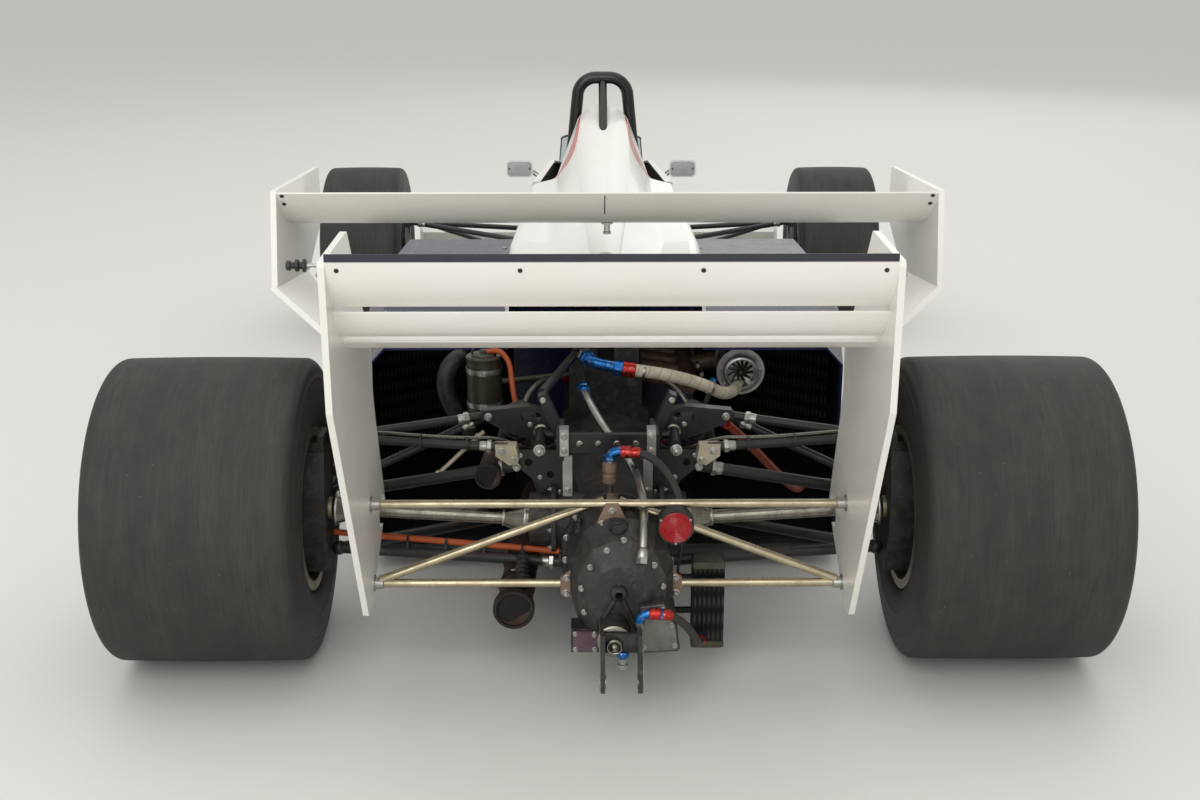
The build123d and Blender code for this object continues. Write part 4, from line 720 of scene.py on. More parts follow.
class Workpiece:
    """A mesh in the making: forms are added one after another, and it is finished as one piece."""

    def __init__(self) -> None:
        """Starts an empty mesh whose UV map holds metres along and round each form."""
        self.mesh = bmesh.new()
        self.run = self.mesh.loops.layers.uv.new("Run")

    def lay_grid(self, rings: Sequence[Sequence[Vector]], closed: bool, capped: bool = False,
                 looped: bool = False) -> None:
        """Skins a row of rings with quads.

        Args:
            rings: rings of points, all with the same count.
            closed: whether each ring closes on itself.
            capped: whether the first and last ring are closed with a face.
            looped: whether the last ring joins the first.
        """
        rows = [[self.mesh.verts.new(p) for p in ring] for ring in rings]
        count = len(rows[0])
        pairs = list(zip(rows, rows[1:])) + ([(rows[-1], rows[0])] if looped else [])
        along = 0.0
        for one, two in pairs:
            step = (two[0].co - one[0].co).length
            girth = sum((a.co - b.co).length for a, b in zip(one, one[1:]))
            for j in range(count if closed else count - 1):
                k = (j + 1) % count
                face = self.mesh.faces.new((one[j], one[k], two[k], two[j]))
                corners = ((along, j), (along, j + 1), (along + step, j + 1), (along + step, j))
                for loop, (u, v) in zip(face.loops, corners):
                    loop[self.run].uv = (u, v / count * girth)
            along += step
        if capped:
            self.mesh.faces.new(reversed(rows[0]))
            self.mesh.faces.new(rows[-1])

    def turn(self, origin: Vector, axis: Vector, profile: Outline, steps: int = 24, phase: float = 0.0,
             looped: bool = False) -> None:
        """Turns a profile round an axis, as on a lathe.

        Args:
            origin: where the axis starts.
            axis: its direction.
            profile: offsets along the axis and radii, in millimetres.
            steps: points round each ring; 6 gives a hexagon.
            phase: how far the first point is turned, in radians.
            looped: whether the profile closes on itself, as that of a ring does.
        """
        lie = axis.to_track_quat("Z", "Y").to_matrix()
        angles = [phase + 2 * math.pi * j / steps for j in range(steps)]
        rings = [[origin + lie @ Vector((radius * math.cos(a), radius * math.sin(a), offset)) * MM
                  for a in angles] for offset, radius in profile]
        self.lay_grid(rings, closed=True, capped=not looped, looped=looped)

    def hoop(self, middle: Vector, axis: Vector, radius: float, wire: float, steps: int = 32, sides: int = 10,
             squash: float = 1.0) -> None:
        """Turns a ring of round or flattened wire.

        Args:
            middle: the ring's middle.
            axis: its axis.
            radius: to the middle of the wire, in millimetres.
            wire: the wire's radius, in millimetres.
            steps: points round the ring.
            sides: points round the wire.
            squash: the wire's width along the axis, as a share of its height.
        """
        turns = [2 * math.pi * i / sides for i in range(sides)]
        self.turn(middle, axis, [(squash * wire * math.sin(t), radius + wire * math.cos(t)) for t in turns],
                  steps, looped=True)

    def slab(self, outline: Outline, place: Vector, across: Vector, up: Vector, thickness: float,
             bevel: float = 0.8) -> None:
        """Cuts a flat piece from sheet or plate and breaks its edges.

        Args:
            outline: its corners, in millimetres along the two directions.
            place: where the outline's own zero lies, on the near face.
            across: the first direction.
            up: the second; the thickness goes along across x up.
            thickness: in millimetres.
            bevel: width of the broken edge, in millimetres.
        """
        through = across.cross(up)
        middle = Vector((sum(a for a, _ in outline), sum(b for _, b in outline))) / len(outline)
        edge = math.copysign(bevel, thickness)
        rings = []
        for depth, inset in ((0, bevel), (edge, 0), (thickness - edge, 0), (thickness, bevel)):
            ring = []
            for a, b in outline:
                arm = Vector((a, b)) - middle
                a, b = middle + arm * (1 - inset / max(arm.length, inset))
                ring.append(place + (across * a + up * b + through * depth) * MM)
            rings.append(ring)
        self.lay_grid(rings, closed=True, capped=True)

    def sweep(self, path: Sequence[Vector], radius: float | Sequence[float], steps: int = 14) -> None:
        """Runs a round section along a path.

        Args:
            path: its points.
            radius: one for all of them, or one for each, in millimetres.
            steps: points round the section.
        """
        radii = [radius] * len(path) if isinstance(radius, (int, float)) else radius
        normal = (path[1] - path[0]).orthogonal().normalized()
        rings = []
        for i, (place, size) in enumerate(zip(path, radii)):
            heading = (path[min(i + 1, len(path) - 1)] - path[max(i - 1, 0)]).normalized()
            normal = (normal - heading * normal.dot(heading)).normalized()
            side = heading.cross(normal)
            angles = [2 * math.pi * j / steps for j in range(steps)]
            rings.append([place + (normal * math.cos(a) + side * math.sin(a)) * size * MM for a in angles])
        self.lay_grid(rings, closed=True, capped=True)

    def ribbon(self, path: Sequence[Vector], width: float, across: Vector, thickness: float = 2.0) -> None:
        """Lays a flat strap along a path.

        Args:
            path: the middle of the strap.
            width: in millimetres.
            across: the direction of its width.
            thickness: in millimetres.
        """
        rings = []
        for i, place in enumerate(path):
            heading = (path[min(i + 1, len(path) - 1)] - path[max(i - 1, 0)]).normalized()
            broad = (across - heading * across.dot(heading)).normalized()
            lift = heading.cross(broad)
            rings.append([place + (broad * a * width / 2 + lift * b * thickness / 2) * MM for a, b in (
                (1, 0.6), (0.96, 1), (-0.96, 1), (-1, 0.6), (-1, -0.6), (-0.96, -1), (0.96, -1), (1, -0.6))])
        self.lay_grid(rings, closed=True, capped=True)

    def coil(self, start: Vector, end: Vector, radius: float, wire: float, turns: float) -> None:
        """Winds a coil spring between two points."""
        axis = end - start
        lie = axis.to_track_quat("Z", "Y").to_matrix()
        count = int(turns * 20)
        path = []
        for i in range(count + 1):
            a = 2 * math.pi * turns * i / count
            rise = axis.length / MM * i / count
            path.append(start + lie @ Vector((radius * math.cos(a), radius * math.sin(a), rise)) * MM)
        self.sweep(path, wire, 8)

    def finish(self, name: str, finish: Finish, body: str = CHASSIS, origin: Vector | None = None,
               sharp: float = 35.0) -> bpy.types.Object:
        """Closes the mesh, dresses it and hangs it on a body of the frame.

        Args:
            name: the piece's name.
            finish: its finish.
            body: the body that it rides on.
            origin: where its own coordinates start, if not at the frame's.
            sharp: the angle in degrees above which an edge stays sharp.

        Returns:
            The piece.
        """
        if origin is not None:
            bmesh.ops.translate(self.mesh, verts=self.mesh.verts, vec=-origin)
        bmesh.ops.recalc_face_normals(self.mesh, faces=self.mesh.faces)
        shape = bpy.data.meshes.new(name)
        self.mesh.to_mesh(shape)
        self.mesh.free()
        shape.shade_smooth()
        shape.set_sharp_from_angle(angle=math.radians(sharp))
        shape.materials.append(finish.material())
        piece = bpy.data.objects.new(name, shape)
        piece.location = origin or (0, 0, 0)
        bpy.context.scene.collection.objects.link(piece)
        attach(piece, body)
        LOG.info("%s: %s, %d faces, on %s", name, finish.name, len(shape.polygons), body)
        return piece


def turned(name: str, finish: Finish, seat: Vector, axis: Vector, profile: Outline, steps: int) -> None:
    """Builds a piece that is one turned form."""
    work = Workpiece()
    work.turn(seat, axis, profile, steps)
    work.finish(name, finish)


def tube(name: str, finish: Finish, line: Sequence[Vector], radius: float,
         steps: int = 14) -> bpy.types.Object:
    """Builds a piece that is one round section along a line."""
    work = Workpiece()
    work.sweep(line, radius, steps)
    return work.finish(name, finish)


def plate(name: str, finish: Finish, outline: Outline, rear: float, thickness: float, bevel: float) -> None:
    """Builds a piece that is one upright plate across the car, from this station forwards."""
    work = Workpiece()
    work.slab(outline, station(rear), X_AXIS, Z_AXIS, thickness, bevel)
    work.finish(name, finish)


# ---------------------------------------------------------------- fasteners and hoses
@dataclass(frozen=True)
class HexBolt:
    """A hexagon bolt or nut on its washer, with a little thread standing out."""

    flats: float  # across the flats, in millimetres
    thread: float = 2.5

    def fit(self, work: Workpiece, seat: Vector, axis: Vector, phase: float = 0.3) -> None:
        """Draws it on a seat, standing along an axis."""
        wide = self.flats
        corner, head, end = wide / math.sqrt(3), wide * 0.6, wide * 0.6 + self.thread
        work.turn(seat, axis, ((-1, wide * 0.68), (1.1, wide * 0.68), (1.5, wide * 0.6)), 18)
        work.turn(seat, axis, ((1.0, corner), (head * 0.85, corner), (head, corner * 0.87)), 6, phase)
        work.turn(seat, axis, ((head - 1, wide * 0.28), (end, wide * 0.28), (end + 0.8, wide * 0.2)), 12)


@dataclass(frozen=True)
class DomedScrew:
    """A domed screw or rivet with a socket in its middle."""

    radius: float

    def fit(self, work: Workpiece, seat: Vector, axis: Vector) -> None:
        """Draws it on a seat, standing along an axis."""
        r = self.radius
        work.turn(seat, axis, ((-0.6, r), (0.25 * r, r), (0.5 * r, 0.8 * r), (0.6 * r, 0.42 * r),
                               (0.3 * r, 0.3 * r)), 14)


def land(node: str, start: Vector, way: Vector) -> tuple[Vector, Vector]:
    """Finds where a straight line meets a node of the frame.

    Args:
        node: the node's name.
        start: where the line starts.
        way: its direction.

    Returns:
        The place, and the way that the face there looks.
    """
    hit, place, normal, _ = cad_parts[node].ray_cast(start, way)
    if not hit:
        raise ValueError(f"nothing of {node} lies beyond {start}")
    return place, normal


@dataclass(frozen=True)
class FastenerRow:
    """A row of fasteners on each side of the car, each set where a line from outside meets a node."""

    mesh: str  # which mesh gets them
    fastener: HexBolt | DomedScrew
    node: str
    way: Vector  # of the lines on the left side
    starts: Route  # of the lines on the left side, across, ahead and high
    sunk: float = 0.0  # how deep each is let in

    def fit(self, meshes: dict[str, Workpiece]) -> None:
        """Sets the row on both sides."""
        for s in (side.value for side in Side):
            for across, forward, height in self.starts:
                way = Vector((s * self.way.x, self.way.y, self.way.z))
                seat, facing = land(self.node, spot(s * across, forward, height), way)
                self.fastener.fit(meshes[self.mesh], seat - facing * self.sunk * MM, facing)


def smooth_line(stops: Route) -> list[Vector]:
    """The points of a smooth line through the space between its stops.

    Args:
        stops: each across, ahead and high, in millimetres.

    Returns:
        Points along the line, in metres.
    """
    curve = bpy.data.curves.new("line", "CURVE")
    curve.dimensions = "3D"
    spline = curve.splines.new("NURBS")
    spline.points.add(len(stops) - 1)
    for control, stop in zip(spline.points, stops):
        control.co = (*spot(*stop), 1.0)
    spline.order_u = 3
    spline.use_endpoint_u = True
    spline.resolution_u = 14
    holder = bpy.data.objects.new("line", curve)
    shape = bpy.data.meshes.new_from_object(holder)
    points = [vertex.co.copy() for vertex in shape.vertices]
    bpy.data.objects.remove(holder)
    bpy.data.curves.remove(curve)
    bpy.data.meshes.remove(shape)
    return points


def stretch(line: Sequence[Vector], start: float, end: float = math.inf) -> list[Vector]:
    """The stretch of a line between two distances along it, in millimetres."""
    kept, along = [], 0.0
    for a, b in zip(line, line[1:]):
        step = (b - a).length / MM
        for mark in (start, end):
            if along < mark < along + step:
                kept.append((mark, a.lerp(b, (mark - along) / step)))
        if start <= along <= end:
            kept.append((along, a))
        along += step
    if start <= along <= end:
        kept.append((along, line[-1]))
    return [place for _, place in sorted(kept, key=lambda pair: pair[0])]


def length_of(line: Sequence[Vector]) -> float:
    """The length of a line, in millimetres."""
    return sum((b - a).length for a, b in zip(line, line[1:])) / MM


def hose_end(work: Workpiece, line: Sequence[Vector], radius: float, nut: Workpiece | None = None) -> None:
    """Draws the socket and the union nut where a hose's line starts.

    Args:
        work: the mesh that gets the socket.
        line: the hose's line, from this end.
        radius: the hose's radius, in millimetres.
        nut: the mesh that gets the nut, if it isn't the socket's.
    """
    heading, r = (line[1] - line[0]).normalized(), radius
    work.turn(line[0], heading, (
        (9, r * 1.28), (11, r * 1.36), (26, r * 1.36), (28, r * 1.22), (31, r * 1.02)), 20)
    (nut or work).turn(line[0], heading, (
        (-4, r * 1.25), (-3, r * 1.42), (9, r * 1.42), (10.5, r * 1.25)), 6, 0.3)


# ---------------------------------------------------------------- wheels
@dataclass
class SlickTyre:
    """A slick tyre, drawn finer than its CAD solid: bead, wall with moulded rings, shoulder and crown."""

    axle: Axle
    side: Side
    rim_radius: float = 165.0
    flange: float = 13.4
    shoulder: float = 30.0
    crown: float = 2.5
    steps: int = 180

    def half_profile(self, half: float, radius: float) -> list[tuple[float, float]]:
        """The outline from the bead to the middle of the tread.

        Args:
            half: half of the tyre's width, in millimetres.
            radius: its outer radius, in millimetres.

        Returns:
            Offsets from the middle and radii, in millimetres.
        """
        low = self.rim_radius + self.flange
        wall_top = radius - self.shoulder
        points = [(half - 20, self.rim_radius + 0.3), (half - 19, low), (half - 12, low + 2),
                  (half - 8, low + 9)]
        for share in (0.12, 0.2, 0.34, 0.5, 0.66, 0.8, 0.9):
            bulge = 7 * (1 - (2 * share - 1) ** 2)
            points.append((half - 7.5 + bulge, low + 9 + share * (wall_top - low - 9)))
        for ring in (0.42, 0.86):
            height = low + 9 + ring * (wall_top - low - 9)
            out = half - 7.5 + 7 * (1 - (2 * ring - 1) ** 2)
            points += [(out, height - 1.6), (out + 0.8, height), (out, height + 1.6)]
        points.sort(key=lambda p: p[1])
        for step in range(9):
            turn = math.radians(90 * step / 8)
            points.append((half - 7 - self.shoulder * 0.72 * (1 - math.cos(turn)),
                           wall_top + (self.shoulder - self.crown) * math.sin(turn)))
        edge = points[-1][0]
        points += [(edge * share, radius - self.crown * share ** 2) for share in (0.8, 0.6, 0.4, 0.2, 0.0)]
        return points

    def build(self) -> None:
        """Turns the tyre about its axle in place of the CAD solid."""
        node = f"{self.axle.value}_tyre_{self.side.word}"
        low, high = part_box(node)
        middle = (low + high) / 2
        outline = self.half_profile((high.x - low.x) / 2 / MM, (high.z - low.z) / 2 / MM)
        profile = [(-offset, radius) for offset, radius in outline]
        profile += [(offset, radius) for offset, radius in reversed(outline[:-1])]
        work = Workpiece()
        work.turn(middle, X_AXIS, profile, self.steps, looped=True)
        rubber = RUBBER_REAR if self.axle is Axle.REAR else RUBBER_FRONT
        piece = work.finish(f"slick_{self.axle.value}_{self.side.word}", rubber,
                            f"{self.axle.value}_wheel_{self.side.word}", middle, sharp=60)
        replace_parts(piece, node)


@dataclass
class WheelFittings:
    """What is bolted to a rim: the centre nut and its clip, the ring of rim bolts, valve and disc faces.

    The places along the axle are distances outboard of the wheel's middle, as in the rim itself.
    """

    axle: Axle
    side: Side
    disc_at: float
    brake_at: float
    bolt_circle: float = 146.0
    bolts: int = 24
    disc_depth: float = 14.0
    hub_end: float = 55.0
    brake_radii: tuple[float, float] = (84.0, 137.5)
    brake_thickness: float = 22.0
    vent_shades: int = 36

    def build(self) -> None:
        """Builds the fittings on the wheel's own body."""
        word = f"{self.axle.value}_{self.side.word}"
        low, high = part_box(f"{self.axle.value}_tyre_{self.side.word}")
        middle = (low + high) / 2
        out = X_AXIS * self.side.value
        nut, ring, disc, vent_shades = (Workpiece() for _ in range(4))
        face = middle + out * (self.hub_end + self.disc_at) * MM
        nut.turn(face - out * 0.026, out, ((0, 46), (3, 47), (11, 47), (13, 45)), 36)
        nut.turn(face - out * 0.015, out, ((0, 44), (22, 44), (26, 41)), 6)
        nut.turn(face - out * 0.002, out, ((10, 17), (22, 17), (24, 15)), 24)
        inboard, outboard = (middle + out * at * MM for at in (self.disc_at, self.disc_at + self.disc_depth))
        for a, arm in spokes(self.bolts, Y_AXIS, Z_AXIS, 0.5):
            HexBolt(10, 1.5).fit(ring, outboard + arm * self.bolt_circle * MM, out, a)
            HexBolt(10, 3).fit(ring, inboard + arm * self.bolt_circle * MM, -out, a)
        ring.turn(outboard + out * 0.014 + Z_AXIS * 0.155, (out - Z_AXIS * 0.4).normalized(),
                  ((-12, 4), (14, 4), (15, 4.8), (26, 4.8), (27, 3)), 12)
        inner, outer = self.brake_radii
        for at, way in ((self.brake_at, -1), (self.brake_at + self.brake_thickness, 1)):
            disc.turn(middle + out * at * MM, out * way, (
                (-0.6, inner), (0.7, inner + 0.8), (0.7, outer - 0.8), (-0.6, outer)), 90, looped=True)
        core = middle + out * (self.brake_at + self.brake_thickness / 2) * MM
        # Each vent opening between the two brake faces is a thin black patch: painted shade of the opening.
        for _, arm in spokes(self.vent_shades, Y_AXIS, Z_AXIS):
            vent_shades.slab(rounded(13, 9, 3.5, 2), core + arm * outer * MM, X_AXIS, arm.cross(X_AXIS), 1.0, 0.2)
        for work, name, finish in (
                (nut, "centre_nut", ANODISED_BLUE if self.side is Side.LEFT else ANODISED_RED),
                (ring, "rim_bolts", BRIGHT_STEEL), (disc, "brake_faces", GROUND_STEEL),
                (vent_shades, "brake_vent_shades", GLOSS_BLACK)):
            work.finish(f"{name}_{word}", finish, f"{self.axle.value}_wheel_{self.side.word}", middle)


# ---------------------------------------------------------------- links of the suspension
@dataclass
class LinkEnds:
    """The lock nuts and threaded ends on the links of one side of the rear or front suspension."""

    # the start and end of each link across, ahead and high, its radius, and how far in its nuts lie
    rear: tuple[tuple, ...] = (
        ((587.7, 6, 488), (214, -10, 470), 10, 34), ((587.7, 6, 488), (272, 112, 500), 10, 34),
        ((587.7, 0, 234), (80, -50, 220), 12, 36), ((587.7, 0, 234), (100, 300, 212), 12, 36),
        ((603, 84, 328), (196, 40, 410), 13, 30), ((603, 52, 356), (270, 112, 498), 9, 28))
    front: tuple[tuple, ...] = (
        ((731, 2800, 395), (120, 2640, 326), 10, 30), ((731, 2800, 395), (120, 2970, 326), 10, 30),
        ((744, 2800, 180), (130, 2610, 134), 11, 30), ((744, 2800, 180), (130, 2990, 134), 11, 30),
        ((705, 2804, 398), (130, 2810, 214), 8, 30))

    def build(self) -> None:
        """Builds the nuts of all links, and the brake pipe with its ties on each rear upper link."""
        for axle, links in ((Axle.REAR, self.rear), (Axle.FRONT, self.front)):
            nuts = Workpiece()
            for side in Side:
                for start, end, radius, inset in links:
                    a, b = (spot(side.value * across, *rest) for across, *rest in (start, end))
                    way = (b - a).normalized()
                    for place, heading in ((a, way), (b, -way))[:1 if axle is Axle.FRONT else 2]:
                        seat = place + heading * inset * MM
                        for steps, profile in (
                                (6, ((0, 1.28), (1.5, 1.42), (10, 1.42), (11.5, 1.28))),
                                (18, ((11, 1.12), (22, 1.12), (26, 1.01)))):
                            nuts.turn(seat, heading, [(at, radius * share) for at, share in profile], steps)
            nuts.finish(f"link_nuts_{axle.value}", BRIGHT_STEEL)
        pipes = Workpiece()
        ties = Workpiece()
        for side in Side:
            s = side.value
            pipes.sweep(smooth_line((
                (s * 604, 62, 404), (s * 560, 40, 470), (s * 520, 16, 499), (s * 400, 0, 493),
                (s * 300, -4, 489), (s * 236, 10, 486), (s * 150, 60, 430), (s * 120, 200, 402))), 3.6, 8)
            for across, height in ((500, 484), (400, 479), (300, 474.4)):
                place = spot(s * across, 1 + (across - 587) * 0.043, height + 4)
                ties.hoop(place, X_AXIS, 14.6, 1.3, 20, 6, 2.2)
        pipes.finish("brake_pipes_rear", STEEL_BRAID)
        ties.finish("brake_pipe_ties", BLACK_RUBBER)


@dataclass
class RodsAndBellows:
    """Small rods and rubber in the engine bay that no CAD solid holds."""

    def build(self) -> None:
        """Builds the thin rod beside the left wishbone, the bellows over the tail pipe and the shaft clips."""
        rod = Workpiece()
        a, b = spot(384, 58, 372), spot(272, 100, 468)
        rod.sweep((a, a.lerp(b, 0.5), b), 5, 12)
        for end, way in ((a, (b - a).normalized()), (b, (a - b).normalized())):
            rod.turn(end + way * 0.012, way, ((0, 8), (9, 8), (10, 6.4)), 6)
        rod.finish("gear_rod_thin", LEVER_CAST)
        top, foot = spot(183, -78, 250), spot(184, -124, 196)
        run = (foot - top).length / MM
        folds = [(run * i / 14, 14.5 if i % 2 else 10.5) for i in range(15)]
        turned("wastegate_bellows", BLACK_RUBBER, top, foot - top, [(-3, 8), *folds, (run + 3, 9)], 20)
        for side in Side:
            clips = Workpiece()
            inboard, outboard = spot(side.value * 172, 0, 302), spot(side.value * 596, 0, 328)
            way = (outboard - inboard).normalized()
            for at, radius in ((7, 37.0), (54, 18.0), (370, 18.0), (416, 37.0)):
                clips.hoop(inboard + way * at * MM, way, radius, 1.6, 28, 6, 2.0)
            clips.finish(f"shaft_clips_{side.word}", BRIGHT_STEEL, f"driveshaft_{side.word}")


# ---------------------------------------------------------------- engine bay
@dataclass(frozen=True)
class Hose:
    """A held hose: its stops across, ahead and high, its radius, its finish, and which ends have a union."""

    name: str
    radius: float
    finish: Finish
    stops: Route
    ends: str = "both"


@dataclass
class Plumbing:
    """The hoses of the engine bay, with their unions, sleeves and ties."""

    # oil feed from the engine to the turbocharger: a blue elbow, a red socket, then taped hose
    feed: Route = (
        (55, 450, 556), (55, 325, 566), (-30, 322, 545), (-130, 326, 532), (-225, 352, 500), (-300, 405, 446),
        (-333, 540, 440))
    feed_radius: float = 15.0
    elbow_start: float = 96.0  # distances along the feed
    elbow_end: float = 186.0
    socket_end: float = 226.0
    # polished breather tube from the engine to the gearbox's tail
    breather: Route = (
        (62, 450, 500), (62, 305, 512), (0, 130, 452), (-48, 10, 434), (-73, -140, 409.7), (-72, -181, 385.4),
        (-71, -224, 372), (-67, -262, 312))
    breather_radius: float = 9.5
    # silicone line along the left lower wishbone
    line: Route = ((600, 22, 262), (500, 0, 262), (240, -24, 248), (90, -46, 243))
    line_radius: float = 7.0
    tie_spacing: float = 84.0
    others: tuple[Hose, ...] = (
        Hose("lamp_hose_black", 8.5, BLACK_BRAID, (
            (-40, -60, 475), (-70, -66, 478), (-104, -90, 466), (-134, -130, 438), (-147, -162, 408),
            (-146, -172, 396)), "start"),
        Hose("cooler_hose_black", 8.5, BLACK_BRAID, (
            (-98, -300, 217), (-124, -298, 214), (-158, -284, 184), (-180, -262, 140), (-188, -224, 108),
            (-196, -166, 98))),
        Hose("tank_vent_orange", 6.5, ORANGE_HOSE, (
            (290, 400, 562), (256, 398, 574), (228, 382, 546), (222, 356, 500), (214, 340, 452),
            (196, 330, 410), (150, 330, 380)), "none"),
        Hose("intercooler_hose_dark", 22, BLACK_RUBBER, (
            (318, 520, 520), (348, 450, 546), (384, 424, 512), (386, 420, 456), (360, 424, 400),
            (330, 450, 350)), "none"),
        Hose("water_hose_red", 10, RED_HOSE, (
            (-252, 130, 486), (-291, 160, 447), (-356, 228, 362), (-423, 300, 274), (-470, 380, 214),
            (-500, 520, 180))),
        Hose("fuel_line_left", 6, STEEL_BRAID, (
            (88, 480, 470), (130, 420, 500), (176, 330, 498), (205, 280, 440), (216, 300, 360),
            (200, 420, 300))),
        Hose("fuel_line_right", 6, STEEL_BRAID, (
            (-88, 470, 480), (-130, 400, 505), (-190, 330, 470), (-214, 330, 380), (-206, 420, 300))),
        Hose("boost_pipe_right", 7, BLACK_BRAID, (
            (-150, 210, 380), (-180, 260, 430), (-214, 330, 424), (-246, 420, 430), (-262, 470, 470))),
        Hose("scavenge_hose_left", 9, BLACK_BRAID, (
            (112, 40, 290), (150, 90, 330), (176, 190, 372), (176, 300, 380), (140, 400, 360))),
        Hose("scavenge_hose_right", 9, BLACK_BRAID, (
            (-112, 40, 300), (-150, 90, 336), (-170, 190, 372), (-170, 300, 366), (-140, 400, 340))),
    )

    def build(self) -> None:
        """Builds every hose, then one mesh for all sockets and nuts of a finish."""
        self.blue, self.red, self.steel, self.ties = (Workpiece() for _ in range(4))
        self.build_feed()
        self.build_breather()
        self.build_line()
        for hose in self.others:
            route = smooth_line(hose.stops)
            tube(hose.name, hose.finish, route, hose.radius)
            for end in {"both": (route, route[::-1]), "start": (route,), "none": ()}[hose.ends]:
                hose_end(self.red, end, hose.radius, self.blue)
        self.build_elbows()
        for work, name, finish in (
                (self.blue, "unions_blue", ANODISED_BLUE), (self.red, "unions_red", ANODISED_RED),
                (self.steel, "unions_steel", BRIGHT_STEEL), (self.ties, "hose_ties", BLACK_RUBBER)):
            work.finish(name, finish)

    def build_feed(self) -> None:
        """Builds the oil feed to the turbocharger."""
        route = smooth_line(self.feed)
        r = self.feed_radius
        tube("oil_feed_pipe", GROUND_STEEL, stretch(route, 0, self.elbow_start + 4), r * 0.7)
        elbow = stretch(route, self.elbow_start, self.elbow_end)
        self.blue.sweep(elbow, r * 0.92, 20)
        for line in (elbow, elbow[::-1]):
            way = (line[1] - line[0]).normalized()
            self.blue.turn(line[0], way, ((-10, r * 1.16), (-8, r * 1.32), (10, r * 1.32), (12, r * 1.14)), 6)
        way = (elbow[1] - elbow[0]).normalized()
        self.steel.turn(elbow[0] - way * 0.026, way, (
            (0, r * 1.1), (2, r * 1.26), (14, r * 1.26), (16, r * 1.1)), 6)
        socket = stretch(route, self.elbow_end + 8, self.socket_end)
        self.red.sweep(socket, [r * 1.1] + [r * 1.22] * (len(socket) - 2) + [r * 1.1], 20)
        body = stretch(route, self.socket_end - 6)
        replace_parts(tube("oil_feed_hose", HOSE_TAPE, body, r, 22), "hoses")
        hose_end(self.steel, body[::-1], r * 0.95)
        bands = Workpiece()
        for at in (26, length_of(body) * 0.5):
            piece = stretch(body, at, at + 8)
            bands.hoop(piece[0], (piece[-1] - piece[0]).normalized(), r + 1, 1.2, 24, 6, 3.4)
        bands.finish("oil_feed_bands", BRIGHT_STEEL)

    def build_breather(self) -> None:
        """Builds the polished tube over the gearbox."""
        route = smooth_line(self.breather)
        r = self.breather_radius
        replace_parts(tube("breather_tube", BRIGHT_STEEL, route, r, 18), "hoses")
        start = stretch(route, 128, 150)
        way = (start[-1] - start[0]).normalized()
        self.blue.turn(start[0], way, ((-2, r * 1.3), (0, r * 1.6), (14, r * 1.6), (16, r * 1.3)), 6)
        self.blue.turn(start[0] + way * 0.018, way, (
            (0, r * 1.2), (2, r * 1.36), (16, r * 1.36), (18, r * 1.1)), 20)
        hose_end(self.steel, route[::-1], r)

    def build_line(self) -> None:
        """Builds the silicone line and its ties to the wishbone."""
        route = smooth_line(self.line)
        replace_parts(tube("wishbone_line_orange", ORANGE_HOSE, route, self.line_radius), "hoses")
        for number in range(1, int(length_of(route) / self.tie_spacing) + 1):
            piece = stretch(route, number * self.tie_spacing, number * self.tie_spacing + 5)
            way = (piece[-1] - piece[0]).normalized()
            self.ties.hoop(piece[0], way, self.line_radius + 0.8, 1.3, 20, 6, 2.4)
            self.ties.hoop(piece[0] - Z_AXIS * 0.013, way, 17, 1.3, 26, 6, 2.4)

    def build_elbows(self) -> None:
        """Builds the unions on the gearbox: over its top, on the right ear and below its tail."""
        stem, top, foot, drain = (spot(*place) for place in (
            (-3, -60, 372), (-3, -60, 470), (-60.5, -300, 190), (-27, -334, 152)))
        turned("gearbox_breather_valve", BRONZE_CAST, stem + Z_AXIS * 0.036, Z_AXIS, (
            (0, 11), (2, 15), (18, 15), (20, 13.4), (24, 13.4), (26, 15), (44, 15), (47, 11)), 24)
        for work, seat, axis, profile, steps in (
                (self.steel, stem, Z_AXIS, ((0, 13), (8, 13), (9, 8), (42, 8)), 6),
                (self.steel, stem + Z_AXIS * 0.082, Z_AXIS, ((0, 10), (8, 10)), 6),
                (self.blue, top - Z_AXIS * 0.012, Z_AXIS, ((0, 12), (2, 14), (10, 14), (12, 12)), 6),
                (self.red, spot(-26, -60, 477), -X_AXIS, ((0, 12), (2, 13.4), (22, 13.4), (25, 9)), 20),
                (self.steel, foot, Z_AXIS, ((-4, 11), (0, 12), (9, 12), (10, 10)), 6),
                (self.red, spot(-80, -300, 217.5), -X_AXIS, ((0, 11), (2, 12.6), (22, 12.6), (25, 9)), 20),
                (self.blue, drain, -Z_AXIS, ((0, 12), (2, 13.5), (12, 13.5), (14, 12)), 6),
                (self.steel, drain - Z_AXIS * 0.013, -Z_AXIS, (
                    (0, 8), (14, 8), (15, 10), (24, 10), (26, 7)), 18)):
            work.turn(seat, axis, profile, steps)
        self.blue.sweep(smooth_line(((-3, -60, 458), (-3, -60, 480), (-30, -60, 478))), 10.5, 18)
        self.blue.sweep(smooth_line(((-60.5, -300, 196), (-60.5, -300, 218), (-86, -300, 218))), 10, 18)


